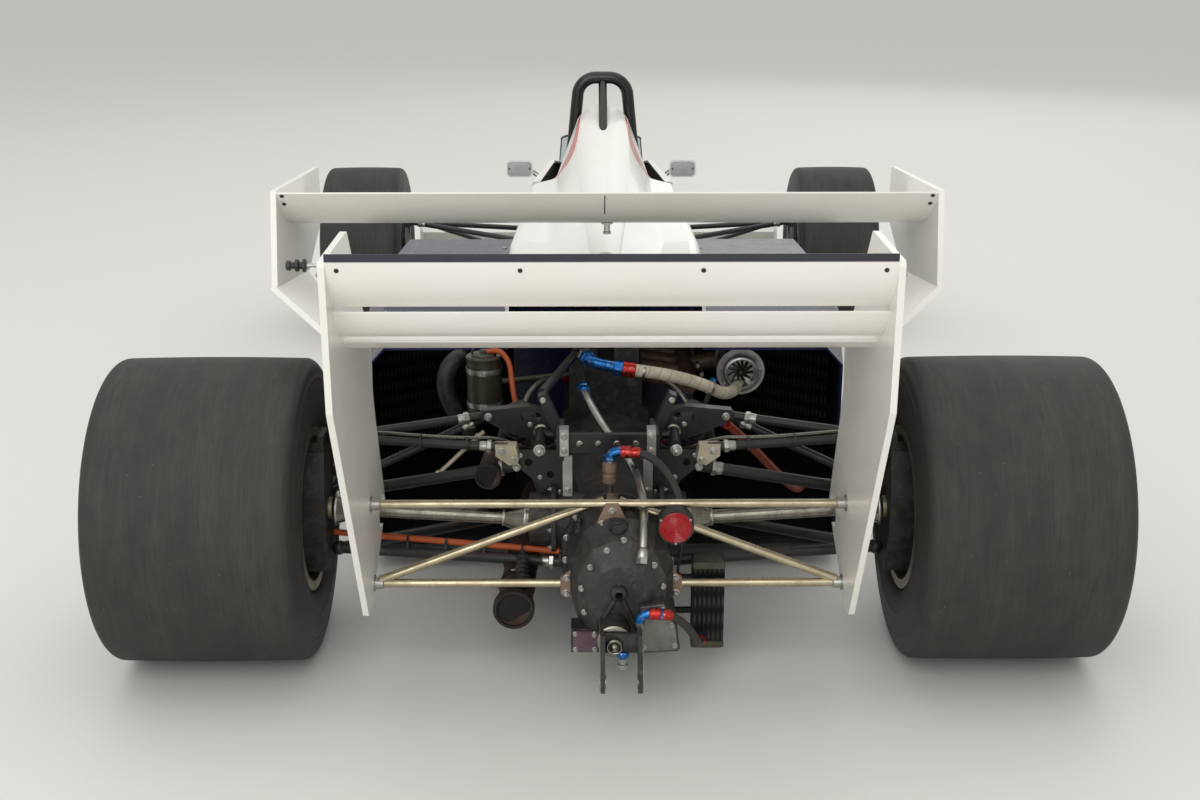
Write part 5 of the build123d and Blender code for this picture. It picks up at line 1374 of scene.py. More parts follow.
@dataclass
class GearboxFittings:
    """What is bolted to the gearbox: flange and studs, caps, the plates on its tail and the ear faces."""

    # half outline of the joint's flange, across its middle and high, seen from behind
    flange_at: float = -66.0  # ahead
    flange_middle: float = -18.0
    flange_bottom: float = 104.0
    flange_top: float = 378.0
    flange_half: float = 106.0
    lip: float = 11.0
    studs: int = 16
    tail_studs: Outline = (
        (-62, 330), (4, 332), (38, 296), (56, 248), (50, 196), (30, 148), (-92, 300), (-110, 252), (-30, 352))
    casing: Outline = ((-64, 222), (-111, 228), (-134, 183), (-142, 126), (-64, 122))
    pump: Outline = ((24, 112), (74, 112), (74, 156), (24, 156))
    ear: Outline = (
        (-252, 152), (-252, 190), (-345, 190), (-407, 148), (-411, 106), (-396, 93), (-379, 104), (-343, 152))

    def build(self) -> None:
        """Builds the flange, its nuts, the caps and the plates."""
        low, high, middle, half, lip = (self.flange_bottom, self.flange_top, self.flange_middle,
                                        self.flange_half, self.lip)
        rise = high - low
        flank = ((half * 0.76, low - lip * 0.6), (half + lip, high - rise * 0.62),
                 (half + lip, high - rise * 0.36),
                 (half * 0.7 + lip * 0.8, high - rise * 0.09 + lip * 0.5), (half * 0.22, high + lip * 0.7))
        outline = [(middle + x, z) for x, z in flank] + [(middle - x, z) for x, z in reversed(flank)]
        plate("gearbox_flange", MAGNESIUM, outline, self.flange_at, 16, 2)
        nuts, discs = Workpiece(), Workpiece()
        for place in self.around(outline):
            HexBolt(11, 5).fit(nuts, place, ASTERN)
        for across, height in self.tail_studs:
            HexBolt(10, 4).fit(nuts, land("gearbox", spot(across, -420, height), ONWARD)[0], ASTERN)
        for side in Side:
            out = X_AXIS * side.value
            for _, arm in spokes(8, ONWARD, Z_AXIS):
                HexBolt(9, 2).fit(nuts, spot(side.value * 122, 0, 302) + arm * 0.067, out)
            discs.turn(spot(side.value * 112, 0, 302), out, (
                (-1, 57), (-1, 75), (0, 76), (9, 76), (10, 75), (10, 57)), 56, looped=True)
        for name, finish, outline, at, gap in (("side_casing_cover", CASING_GREY, self.casing, -280, 0.6),
                                               ("pump_cover", MAUVE_CAST, self.pump, -257, 0.2)):
            plate(name, finish, outline, at - gap, 5.5, 1.2)
            centre = sum((Vector(p) for p in outline), Vector((0, 0))) / len(outline)
            for corner in outline:
                inside = centre + (Vector(corner) - centre) * 0.8
                HexBolt(8, 1.5).fit(nuts, spot(inside.x, at, inside.y), ASTERN)
        discs.finish("output_covers", MAGNESIUM)
        nuts.finish("gearbox_nuts", BRIGHT_STEEL)
        self.build_ears()
        self.build_caps()

    def around(self, outline: Outline) -> list[Vector]:
        """Places for the studs along the flange, on its rear face."""
        corners = [Vector(p) for p in outline]
        edges = list(zip(corners, corners[1:] + corners[:1]))
        total = sum((b - a).length for a, b in edges)
        centre = sum(corners, Vector((0, 0))) / len(corners)
        places = []
        for number in range(self.studs):
            left = total * (number + 0.5) / self.studs
            for a, b in edges:
                if left <= (b - a).length:
                    point = a.lerp(b, left / (b - a).length)
                    point += (centre - point).normalized() * self.lip * 0.72
                    places.append(spot(point.x, self.flange_at - 0.2, point.y))
                    break
                left -= (b - a).length
        return places

    def build_ears(self) -> None:
        """Faces the two jacking ears with bright plate, and puts bushes in their eyes."""
        plates = Workpiece()
        for face, way in ((18.2, 1), (-65.2, -1)):
            origin = Vector((face * MM, Axle.REAR.place.y, 0))
            plates.slab(self.ear, origin, ONWARD, Z_AXIS, 1.6 * -way, 0.3)
        plates.finish("ear_plates", BARE_ALLOY)
        bushes = Workpiece()
        for face, way in ((19.2, 1), (8.6, -1), (-55.6, 1), (-66.2, -1)):
            seat = Vector((face * MM, ahead(-396), 0.116))
            bushes.turn(seat, X_AXIS * way, ((-1.2, 9.4), (1.2, 9.4), (1.2, 14), (-1.2, 14)), 28, looped=True)
        snout = spot(-10, -318, 166)
        bushes.turn(snout, ASTERN, ((-4, 34.6), (3, 34.6), (5, 31), (6, 22), (6, 18)), 36)
        bushes.hoop(spot(-10, -346, 166), ASTERN, 14, 3, 28)
        bushes.turn(spot(-10, -345, 166), ASTERN, ((-2, 10), (4, 9.4), (8, 7), (10, 3)), 20)
        bushes.finish("tail_bushes", GROUND_STEEL)

    def build_caps(self) -> None:
        """Puts the filler cap and a sender on the casing, and brackets on its sides."""
        caps = Workpiece()
        seat, _ = land("gearbox", spot(-18, -218, 480), -Z_AXIS)
        caps.turn(seat, Z_AXIS, (
            (-4, 17), (3, 17), (4, 20), (13, 20), (15, 18), (15.5, 12), (18, 11), (19, 8)), 28)
        for _, arm in spokes(12, X_AXIS, Y_AXIS):
            caps.turn(seat + arm * 0.0195 + Z_AXIS * 0.004, Z_AXIS, ((0, 1.8), (8, 1.8)), 8)
        sender, _ = land("gearbox", spot(60, -140, 480), -Z_AXIS)
        caps.turn(sender, Z_AXIS, ((-6, 12), (2, 12), (3, 9), (16, 9), (17, 6), (24, 5)), 20)
        caps.finish("gearbox_caps", BLACK_RUBBER)
        brackets, bolts = Workpiece(), Workpiece()
        for side, across in ((Side.LEFT, 84), (Side.RIGHT, -136)):
            outline = [(across + a * side.value, 231 + b) for a, b in (
                (-14, -30), (16, -20), (16, 18), (-4, 34), (-14, 30))]
            brackets.slab(outline, station(-194), X_AXIS, Z_AXIS, 6, 1)
            HexBolt(12, 3).fit(bolts, spot(across + 2 * side.value, -194, 248), ASTERN)
            HexBolt(12, 3).fit(bolts, spot(across + 4 * side.value, -194, 214), ASTERN)
        apex = ((-44, 360), (30, 360), (6, 414), (-20, 414))
        brackets.slab(apex, station(-195.2), X_AXIS, Z_AXIS, 4, 1)
        for across, height in ((-7, 398), (-28, 370), (14, 370)):
            HexBolt(11, 3).fit(bolts, spot(across, -195.2, height), ASTERN)
        brackets.finish("frame_brackets", BRONZE_CAST)
        bolts.finish("frame_bracket_bolts", BRIGHT_STEEL)


@dataclass
class RockerFittings:
    """Bright fittings on the carrier of the rockers: clamps, straps, lever eyes, pins and springs."""

    clamp: Outline = ((83.2, 454), (102.8, 454), (102.8, 514.8), (83.2, 514.8))
    strap: Outline = ((76.2, 330), (96.8, 330), (96.8, 452), (76.2, 452))
    eye: Outline = ((240.8, 478.6), (195, 478.6), (189, 449), (192, 437.2), (210.4, 432), (240.8, 454.4))
    # each bolt's place across, high and ahead, and its width across the flats
    bolts: tuple[tuple[float, ...], ...] = (
        (93, 500, -27, 12), (93, 468, -27, 10), (86, 344, -13, 9), (86, 372, -13, 9), (226, 466, -25, 13),
        (202, 446, -25, 11), (146, 468, -24.4, 19), (196, 422, -4.4, 13), (170, 484, 98.6, 9),
        (262, 502, 98.6, 13), (108, 456, 61.6, 10), (140, 552, 61.6, 10), (104, 362, 3.6, 8),
        (146, 396, 3.6, 8), (188, 446, 3.6, 8))

    def build(self) -> None:
        """Builds the bright pieces of both sides, their bolts and the coil springs."""
        clamps, eyes, bolts, springs = (Workpiece() for _ in range(4))
        for side in Side:
            s = side.value
            clamps.slab(mirrored(self.clamp, side), station(-26.8), X_AXIS, Z_AXIS, 31.4, 1.4)
            clamps.slab(mirrored(self.strap, side), station(-12.8), X_AXIS, Z_AXIS, 6, 1)
            eyes.slab(mirrored(self.eye, side), station(-24.8), X_AXIS, Z_AXIS, 31.4, 2)
            for across, height, at, flats in self.bolts:
                HexBolt(flats, 3).fit(bolts, spot(s * across, at, height), ASTERN)
            springs.coil(spot(s * 194, 166, 484), spot(s * 230, 322, 338), 33, 5, 7)
        clamps.finish("rocker_clamps", BARE_ALLOY)
        eyes.finish("lever_eyes", LEVER_CAST)
        bolts.finish("rocker_bolts", BRIGHT_STEEL)
        springs.finish("damper_springs", BLACK_TUBE)
        pivots = Workpiece()
        for side in Side:
            for at in (98.4, 126):
                pivots.turn(spot(side.value * 146, at, 468), ASTERN if at < 100 else ONWARD,
                            ((-2, 17), (2, 17), (3, 13), (6, 12)), 28)
        for across in (60, 20, -20, -60):
            pivots.turn(spot(across, -16, 480), ASTERN, ((-1, 7), (1.6, 7), (2.4, 5)), 20)
        pivots.finish("rocker_pivots", GROUND_STEEL)


@dataclass
class TurboAndTank:
    """The turbocharger's rings and wheel, the catch tank's lid and bands, and the clamps of the exhaust."""

    # the rear face of the compressor's inlet and the exhaust's two mouths, across, ahead and high
    mouth: tuple[float, float, float] = (-333.0, 490.0, 481.0)
    tail_pipe: tuple[float, float, float] = (200.0, -150.0, 157.0)
    wastegate_pipe: tuple[float, float, float] = (258.0, 0.0, 400.0)
    blades: int = 12
    tank: tuple[float, float] = (290.0, 400.0)
    tank_top: float = 556.0
    tank_bottom: float = 413.0
    tank_radius: float = 42.0

    def build(self) -> None:
        """Builds the bright rings, the compressor wheel, the tank's fittings and the exhaust's clamps."""
        middle = spot(*self.mouth)
        rings, wheel, bolts = (Workpiece() for _ in range(3))
        rings.turn(middle, ASTERN, (
            (-26, 43), (-2, 43), (2, 41), (3, 37), (0, 34.4), (-24, 34.2)), 48, looped=True)
        rings.turn(middle - ASTERN * 0.03, ASTERN, (
            (0, 59), (6, 60.5), (11, 59), (11, 52), (0, 52)), 60, looped=True)
        rings.hoop(middle - ASTERN * 0.002, ASTERN, 40, 3.4, 48)
        rings.finish("turbo_rings", BARE_ALLOY)
        hub = middle - ASTERN * 0.032
        wheel.turn(hub, ASTERN, ((-8, 12), (8, 9), (20, 6), (24, 3)), 20)
        for _, arm in spokes(self.blades, X_AXIS, Z_AXIS):
            lean = (arm.cross(ASTERN) * 0.55 + ASTERN).normalized()
            wheel.slab(((6, -9), (33, -9), (31, 11), (8, 15)), hub, arm, lean, 1.2, 0.2)
        wheel.turn(hub - ASTERN * 0.01, ASTERN, ((0, 33.8), (1, 33.8)), 40)
        wheel.finish("compressor_wheel", TANK_ALLOY)
        for _, arm in spokes(8, X_AXIS, Z_AXIS):
            HexBolt(8, 2).fit(bolts, middle - ASTERN * 0.0302 + arm * 0.0505, ASTERN)
        for across, high in ((226, 500), (236, 478)):
            bolts.turn(spot(-across, 498, high), ASTERN, ((-20, 6), (8, 6), (10, 4)), 6)
        self.build_tank(bolts)
        self.build_clamps(bolts)
        bolts.finish("turbo_and_tank_bolts", BRIGHT_STEEL)

    def build_tank(self, bolts: Workpiece) -> None:
        """Builds the tank's lid, handle, neck and bands."""
        top = spot(*self.tank, self.tank_top)
        lid = Workpiece()
        lid.turn(top, Z_AXIS, ((-4, 30), (2, 30), (4, 28.5), (6, 20), (7, 11), (12, 10), (13, 8)), 40)
        lid.turn(top, Z_AXIS, ((-12, 41), (-8, 43.2), (-3, 43.2), (0, 40), (0.6, 34)), 48)
        lid.sweep(smooth_line((
            (262, 400, 558), (264, 400, 578), (290, 400, 584), (316, 400, 578), (318, 400, 558))), 2.6, 10)
        lid.finish("tank_lid", TANK_ALLOY)
        bands = Workpiece()
        across, forward = self.tank
        for height in (self.tank_bottom + 26, self.tank_top - 34):
            bands.hoop(spot(across, forward, height), Z_AXIS, self.tank_radius + 0.8, 1.4, 48, 6, 5.0)
            bands.slab(rounded(20, 14, 3, 2), spot(across, forward - 46, height), X_AXIS, Z_AXIS, 6, 1)
            HexBolt(7, 4).fit(bolts, spot(across - 4, forward - 46.4, height), ASTERN)
        bands.finish("tank_bands", BARE_ALLOY)

    def build_clamps(self, bolts: Workpiece) -> None:
        """Builds the sooty lips and clamps of the exhaust, and a black disc of painted shade in each mouth.

        The bore of each pipe in the CAD solid stops just short of its leaning end face, so a black disc stands
        for the deep, sooty bore: painted shade over real soot.
        """
        tail, bore_shades, clamps = (Workpiece() for _ in range(3))
        lower, upper = spot(*self.tail_pipe), spot(*self.wastegate_pipe)
        tail.turn(lower, ASTERN, (
            (-13, 42.4), (-12, 44), (6, 44), (8, 42.8), (8.4, 40), (8, 37.4), (-4, 37)), 48, looped=True)
        # black discs of painted shade for the depth of each bore, which is also sooty
        bore_shades.turn(lower, ASTERN, ((0.3, 36), (0.9, 33)), 48)
        bore_shades.turn(upper, ASTERN, ((0.3, 24.5), (0.9, 22)), 40)
        route = smooth_line(((190, 300, 140), (196, 150, 146), (200, -120, 156)))
        for at in (60, 190, 330):
            piece = stretch(route, at, at + 12)
            clamps.hoop(piece[0], (piece[-1] - piece[0]).normalized(), 38.6, 1.8, 40, 6, 4.4)
            HexBolt(9, 6).fit(bolts, piece[0] + Z_AXIS * 0.0402, X_AXIS)
        clamps.turn(upper, ASTERN, (
            (-22, 27.4), (-6, 27.4), (-5, 29), (5, 29), (6, 27), (5, 24.6), (-4, 24.4)), 40, looped=True)
        bore_shades.finish("exhaust_bore_shades", SOOT_AND_SHADE_BLACK)
        tail.finish("exhaust_tail", SOOT_STEEL)
        clamps.finish("exhaust_clamps", SOOT_STEEL)


@dataclass
class RainLamp:
    """The rain lamp's housing, the ribs of its lens and its cable."""

    across: float = -136.0
    height: float = 370.0
    rear: float = -219.6  # ahead; the lens's rear face
    radius: float = 35.0

    def build(self) -> None:
        """Builds the housing, the lens's rings and the cable with its connector."""
        face = spot(self.across, self.rear, self.height)
        turned("lamp_housing", BLACK_RUBBER, face, ASTERN, (
            (-31, 38.8), (-24, 39.4), (-3, 36.8), (0.6, 35.6), (0.6, 33.6), (-2, 33)), 56)
        lens, screws = Workpiece(), Workpiece()
        profile = [(-2.0, 33.4)]
        for ring in range(7):
            outer = 32.6 - ring * 4.2
            crown = 5.5 * (1 - (outer / 34) ** 2)
            profile += [(crown + 0.2, outer), (crown + 1.4, outer - 1.6), (crown + 0.7, outer - 3.6)]
        lens.turn(face, ASTERN, [*profile, (6.4, 1.2)], 56)
        lens.finish("lamp_lens_ribs", LENS, sharp=20)
        cable = smooth_line((
            (-136, -200, 334), (-152, -184, 326), (-150, -172, 290), (-144, -164, 258), (-147, -152, 226)))
        tube("lamp_cable", BLACK_RUBBER, cable, 3, 10)
        turned("lamp_connector", ANODISED_RED, spot(-147, -152, 240), -Z_AXIS, (
            (0, 5), (2, 7.4), (20, 7.4), (22, 5.4), (30, 5)), 18)
        for turn in (0.5, 2.6, 4.7):
            arm = X_AXIS * math.cos(turn) + Z_AXIS * math.sin(turn)
            DomedScrew(3).fit(screws, face + arm * 0.0346 + ASTERN * 0.0004, ASTERN)
        screws.finish("lamp_screws", BRIGHT_STEEL)


@dataclass
class CoolerFins:
    """The upright fins and tanks of the gear oil cooler beside the gearbox."""

    left: float = -176.0
    right: float = -244.0
    low: float = 72.0
    high: float = 268.0
    face: float = -162.0
    pitch: float = 4.5

    def build(self) -> None:
        """Builds the fins on the rear face and a rolled tank at each end."""
        fins, tanks = Workpiece(), Workpiece()
        for number in range(int((self.left - self.right - 8) / self.pitch)):
            across = self.right + 5 + number * self.pitch
            fins.slab(((0, self.low + 16), (2.2, self.low + 16), (2.2, self.high - 16), (0, self.high - 16)),
                      spot(across, self.face - 2.4, 0), X_AXIS, Z_AXIS, 3, 0.3)
        fins.finish("oil_cooler_fins", CORE)
        for height in (self.low + 7, self.high - 7):
            outline = [(a + (self.left + self.right) / 2, b + height) for a, b in rounded(69.6, 15.6, 6)]
            tanks.slab(outline, station(self.face - 1.6), X_AXIS, Z_AXIS, 43, 1.6)
        tanks.finish("oil_cooler_tanks", TANK_ALLOY)


# ---------------------------------------------------------------- wings and bodywork
@dataclass
class WingFittings:
    """Screws, bolts, joint strips and the flap adjuster of the wings."""

    flap_screws: tuple[float, ...] = (-468.0, -156.0, 156.0, 468.0)
    plate_half: float = 500.0
    rows: tuple[FastenerRow, ...] = (
        FastenerRow("wing_screws", DomedScrew(4.6), "forward_wing_plane", ONWARD, (
            (676, -204, 1000), (676, -204, 980))),
        FastenerRow("wing_bolts", HexBolt(9, 1), "rear_wing_plates", INWARD, (
            (800, -140, 776), (800, -260, 786), (800, -370, 806), (800, -440, 862), (800, -500, 924),
            (800, -536, 972))),
        FastenerRow("wing_bolts", HexBolt(14, 2), "rear_wing_plates", INWARD, (
            (800, -180, 408), (800, -180, 231))),
        FastenerRow("wing_screws", DomedScrew(4.4), "forward_wing_plates", INWARD, (
            (800, 110, 992), (800, 200, 968), (800, 300, 946), (800, 350, 940))),
        FastenerRow("wing_screws", DomedScrew(4.4), "front_wing_plates", INWARD, (
            (900, 3780, 118), (900, 3650, 132), (900, 3530, 150), (900, 3430, 166), (900, 3380, 206),
            (900, 3290, 240))),
        FastenerRow("wing_screws", DomedScrew(4), "front_wing", -Z_AXIS, (
            (180, 3420, 320), (440, 3420, 320), (700, 3420, 320))))

    def build(self) -> None:
        """Builds the fasteners of each wing."""
        dark, bright = Workpiece(), Workpiece()
        for row in self.rows:
            row.fit({"wing_screws": dark, "wing_bolts": bright})
        for across in self.flap_screws:
            DomedScrew(4.2).fit(dark, *land("rear_wing_plane", spot(across, -760, 984), ONWARD))
        for s in (side.value for side in Side):
            for height in (408, 231):
                bright.turn(spot(s * (self.plate_half - 12), -180, height), INWARD * s, (
                    (0, 17), (3, 17), (4, 12.5), (20, 11.6), (22, 9.6)), 24)
        dark.finish("wing_screws", BLACK_RUBBER)
        bright.finish("wing_bolts", BRIGHT_STEEL)
        self.build_adjuster()
        self.build_pin()

    def build_adjuster(self) -> None:
        """Builds the flap adjuster that stands out of the left end plate."""
        seat = spot(self.plate_half, -510, 983)
        turned("flap_adjuster_rod", BRIGHT_STEEL, seat, X_AXIS, ((-1, 8), (2, 8), (3, 3.4), (44, 3.4)), 16)
        turned("flap_adjuster_knob", BLACK_RUBBER, seat + X_AXIS * 0.026, X_AXIS, (
            (0, 8), (2, 12), (6, 12), (7, 7), (12, 6), (14, 11), (19, 11), (21, 6), (27, 6), (28, 9), (34, 9),
            (36, 5)), 8)

    def build_pin(self) -> None:
        """Builds the strut's socket under the middle of the forward wing, and the joint strip on the wing's
        rear face.
        """
        seat, _ = land("forward_wing_plane", spot(0, 200, 700), Z_AXIS)
        turned("forward_wing_socket", BARE_ALLOY, seat + Z_AXIS * 0.002, -Z_AXIS, (
            (0, 13), (4, 13), (5, 7), (20, 7), (22, 9), (26, 9), (27, 6)), 20)
        joint = Workpiece()
        path = []
        for height in (1000, 984, 968, 950):
            place, facing = land("forward_wing_plane", spot(6, -300, height), ONWARD)
            path.append(place + facing * 0.0003)
        joint.ribbon(path, 2.4, X_AXIS, 0.5)
        joint.finish("forward_wing_joint", BLACK_RUBBER)


def cowl_foot(forward: float) -> float:
    """A height just above the cowl's lower edge at a station."""
    rows = ((1250, 640), (1950, 610), (2300, 560), (2800, 455), (3300, 400))
    for (aft, low), (fore, high) in zip(rows, rows[1:]):
        if forward <= fore:
            return low + (high - low) * (forward - aft) / (fore - aft) + 22
    return rows[-1][1]


@dataclass
class PanelFasteners:
    """Quarter turn fasteners and rivets along the edges of the pods, cover, cowl and nose."""

    # the mesh, the radius, the node, the way of the lines on the left side, and where they start
    rows: tuple[tuple, ...] = (
        ("turns", 7.5, "engine_cover", INWARD, [(420, y, 640) for y in range(520, 1290, 128)]),
        ("turns", 7.5, "sidepods", -Z_AXIS, [(292, y, 760) for y in range(500, 1540, 150)]),
        ("rivets", 4, "sidepods", INWARD, [(820, y, 84) for y in range(500, 1540, 150)]),
        ("rivets", 3, "sidepods", -Z_AXIS, [(560, y, 760) for y in range(470, 1550, 60)]),
        ("turns", 7, "cockpit_cowl", INWARD, [(420, y, cowl_foot(y)) for y in range(1380, 3280, 190)]),
        ("rivets", 3.2, "monocoque", INWARD, [(420, y, cowl_foot(y) - 52) for y in range(1380, 3280, 190)]),
        ("turns", 6.5, "nose_cone", INWARD, [
            (300, 3330, 210), (300, 3420, 210), (300, 3520, 210), (300, 3316, 300), (300, 3316, 380)]))

    def build(self) -> None:
        """Sets rows of fasteners on the panels, each where a line from outside meets the panel."""
        meshes = {"turns": Workpiece(), "rivets": Workpiece()}
        for mesh, radius, node, way, starts in self.rows:
            FastenerRow(mesh, DomedScrew(radius), node, way, starts, sunk=1.0).fit(meshes)
        meshes["turns"].finish("quarter_turn_fasteners", BRIGHT_STEEL)
        meshes["rivets"].finish("panel_rivets", BARE_ALLOY)


@dataclass
class Cushion:
    """A padded cushion: crowned, with its sides drawn in and sewn channels across it."""

    name: str
    width: float
    height: float
    thickness: float
    middle: Vector
    across: Vector
    up: Vector
    channels: int = 3
    voxel: float = 5.0
    cap: float = 8.0
    pressure: float = 4.0
    frames: int = 20

    def build(self) -> bpy.types.Object:
        """Shapes the cushion, fills it by simulation, sews its channels and hangs it on the chassis."""
        work = Workpiece()
        count = 18
        out = self.across.cross(self.up)
        for face in (1, -1):
            rows = []
            for i in range(count + 1):
                v = 2 * i / count - 1
                row = []
                for j in range(count + 1):
                    u = 2 * j / count - 1
                    body = max((1 - u ** 6) * (1 - v ** 6), 0) ** 0.4
                    drawn = 1 - 0.05 * (1 - abs(u * v) ** 2)
                    place = (self.across * u * self.width * drawn + self.up * v * self.height * drawn) / 2
                    row.append(self.middle + (place + out * face * self.thickness / 2 * body) * MM)
                rows.append(row)
            work.lay_grid(rows, closed=False)
        bmesh.ops.remove_doubles(work.mesh, verts=work.mesh.verts, dist=1e-5)
        piece = work.finish(self.name, CLOTH, origin=self.middle, sharp=180)
        remesh = piece.modifiers.new("voxels", "REMESH")
        remesh.mode = "VOXEL"
        remesh.voxel_size = self.voxel * MM
        remesh.use_smooth_shade = True
        self.apply(piece)
        self.fill(piece)
        self.sew(piece)
        piece.modifiers.new("soft", "SUBSURF").levels = 1
        piece.modifiers["soft"].render_levels = 1
        return piece

    @staticmethod
    def apply(piece: bpy.types.Object) -> None:
        """Replaces the mesh by what its modifiers make of it."""
        shape = bpy.data.meshes.new_from_object(piece.evaluated_get(bpy.context.evaluated_depsgraph_get()))
        piece.modifiers.clear()
        shape.materials.clear()
        shape.materials.append(CLOTH.material())
        old, piece.data = piece.data, shape
        bpy.data.meshes.remove(old)
        shape.name = piece.name
        shape.shade_smooth()

    def fill(self, piece: bpy.types.Object) -> None:
        """Blows the cover up like a filled bag, and holds each point near where it was."""
        before = [vertex.co.copy() for vertex in piece.data.vertices]
        cloth = piece.modifiers.new("fill", "CLOTH")
        cloth.settings.use_pressure = True
        cloth.settings.uniform_pressure_force = self.pressure
        cloth.settings.effector_weights.gravity = 0
        for number in range(1, self.frames + 1):
            bpy.context.scene.frame_set(number)
        self.apply(piece)
        bpy.context.scene.frame_set(1)
        for vertex, start in zip(piece.data.vertices, before):
            move = vertex.co - start
            if move.length > self.cap * MM:
                vertex.co = start + move.normalized() * self.cap * MM

    def sew(self, piece: bpy.types.Object) -> None:
        """Draws the cover in along its channels and round its edge."""
        out = self.across.cross(self.up)
        for vertex in piece.data.vertices:
            high = vertex.co.dot(self.up) / MM
            proud = vertex.co.dot(out) / MM
            for number in range(1, self.channels + 1):
                seam = self.height * (number / (self.channels + 1) - 0.5)
                pull = 0.42 * math.exp(-((high - seam) / 6.0) ** 2)
                vertex.co -= out * proud * pull * MM


@dataclass
class Cockpit:
    """The driver's place: seat, belts, steering wheel, dash, lever, headrest, mirrors and screen edge."""

    wheel_at: tuple[float, float, float] = (0.0, 1900.0, 610.0)
    column_foot: tuple[float, float, float] = (0.0, 2120.0, 574.0)
    wheel_radius: float = 122.0
    # ahead and height along the seat's face, from its top to its front edge
    seat_face: Outline = (
        (1352, 618), (1388, 616), (1402, 560), (1425, 470), (1448, 372), (1470, 280), (1492, 204), (1540, 160),
        (1620, 132), (1700, 132), (1800, 140), (1888, 148), (1896, 140))
    seat_low: float = 84.0
    dash_at: float = 2040.0

    def build(self) -> None:
        """Builds the pieces of the cockpit."""
        for build in (self.build_seat, self.build_belts, self.build_wheel, self.build_dash, self.build_mirrors,
                      self.build_screen_edge):
            build()

    @property
    def back_up(self) -> Vector:
        """The way up along the seat's back."""
        return (spot(0, 1410, 530) - spot(0, 1486, 226)).normalized()

    def build_seat(self) -> None:
        """Builds the moulded shell with its raised sides, two pads, the bulkhead and the headrest."""
        shell = Workpiece()
        rings = []
        for across in (-166, -162, -150, -136, -120, -100, -50, 0, 50, 100, 120, 136, 150, 162, 166):
            share = min(max((abs(across) - 100) / 44, 0), 1)
            lift = 34 * share * share * (3 - 2 * share) - max(abs(across) - 150, 0) * 1.4
            ring = []
            last = len(self.seat_face) - 1
            for i, (forward, height) in enumerate(self.seat_face):
                before, after = (Vector(self.seat_face[j]) for j in (max(i - 1, 0), min(i + 1, last)))
                run = (after - before).normalized()
                raised = lift if 0 < i < last else 0
                ring.append(spot(across, forward - run.y * raised, height + run.x * raised))
            ring += [spot(across, 1896, self.seat_low), spot(across, 1350, self.seat_low)]
            rings.append(ring)
        shell.lay_grid(rings, closed=True, capped=True)
        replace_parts(shell.finish("seat_shell", SEAT_SHELL, sharp=50), "seat")
        Cushion("seat_back_pad", 206, 330, 30, spot(0, 1459, 386), X_AXIS, self.back_up, 4).build()
        base_up = (spot(0, 1850, 146) - spot(0, 1640, 134)).normalized()
        Cushion("seat_base_pad", 206, 250, 26, spot(0, 1742, 148), X_AXIS, base_up, 2).build()
        plate("cover_bulkhead", FLOOR_SHEET, (
            (-222, 642), (222, 642), (196, 796), (132, 812), (66, 980), (0, 1016), (-66, 980), (-132, 812),
            (-196, 796)), 1284, 5, 1)
        Cushion("headrest_pad", 176, 120, 34, spot(0, 1317, 742), X_AXIS, Z_AXIS, 1).build()

    def build_belts(self) -> None:
        """Builds the shoulder, lap and crotch straps, their slides and the buckle."""
        belts, metal = Workpiece(), Workpiece()
        for side in Side:
            s = side.value
            belts.ribbon(smooth_line((
                (s * 66, 1350, 632), (s * 64, 1392, 642), (s * 60, 1424, 566), (s * 52, 1476, 430),
                (s * 34, 1530, 300), (s * 18, 1600, 196))), 50, X_AXIS)
            belts.ribbon(smooth_line((
                (s * 176, 1500, 250), (s * 150, 1512, 262), (s * 106, 1560, 210), (s * 34, 1610, 184))), 50,
                Vector((0, -0.5, 0.8)))
            metal.slab(rounded(58, 22, 5), spot(s * 60, 1432, 548), X_AXIS, self.back_up, 4)
        crotch = smooth_line(((0, 1622, 182), (0, 1680, 166), (0, 1760, 166), (0, 1850, 168)))
        belts.ribbon(crotch, 44, X_AXIS)
        buckle = spot(0, 1612, 188)
        metal.turn(buckle, Z_AXIS, ((-4, 28), (5, 28), (8, 25), (10, 15), (16, 14), (17, 10)), 32)
        belts.finish("harness_webbing", WEBBING)
        metal.finish("harness_metal", BARE_ALLOY)

    def build_wheel(self) -> None:
        """Builds the steering wheel's rim, spokes, hub and column in place of the CAD solid."""
        hub, foot = spot(*self.wheel_at), spot(*self.column_foot)
        axis = (foot - hub).normalized()
        rim, frame_work = Workpiece(), Workpiece()
        rim.hoop(hub + axis * 0.006, axis, self.wheel_radius - 12, 12, 64, 16)
        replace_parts(rim.finish("steering_wheel_rim", GRIP), "steering_wheel")
        reach = self.wheel_radius - 16
        for turn in (0, 180, 270):
            arm = Matrix.Rotation(math.radians(turn), 3, axis) @ X_AXIS
            frame_work.slab(((20, -15), (reach, -9), (reach, 9), (20, 15)), hub + axis * 0.003, arm,
                            axis.cross(arm), 4)
        frame_work.turn(hub, axis, ((0, 30), (6, 30), (8, 26), (30, 22), (34, 16), (60, 16)), 32)
        frame_work.turn(hub + axis * 0.05, axis, ((0, 9), ((foot - hub).length / MM - 52, 9)), 20)
        for turn in range(6):
            arm = Matrix.Rotation(2 * math.pi * turn / 6, 3, axis) @ axis.cross(X_AXIS)
            HexBolt(7, 0.5).fit(frame_work, hub + arm * 0.022, -axis)
        frame_work.finish("steering_wheel_frame", BARE_ALLOY)

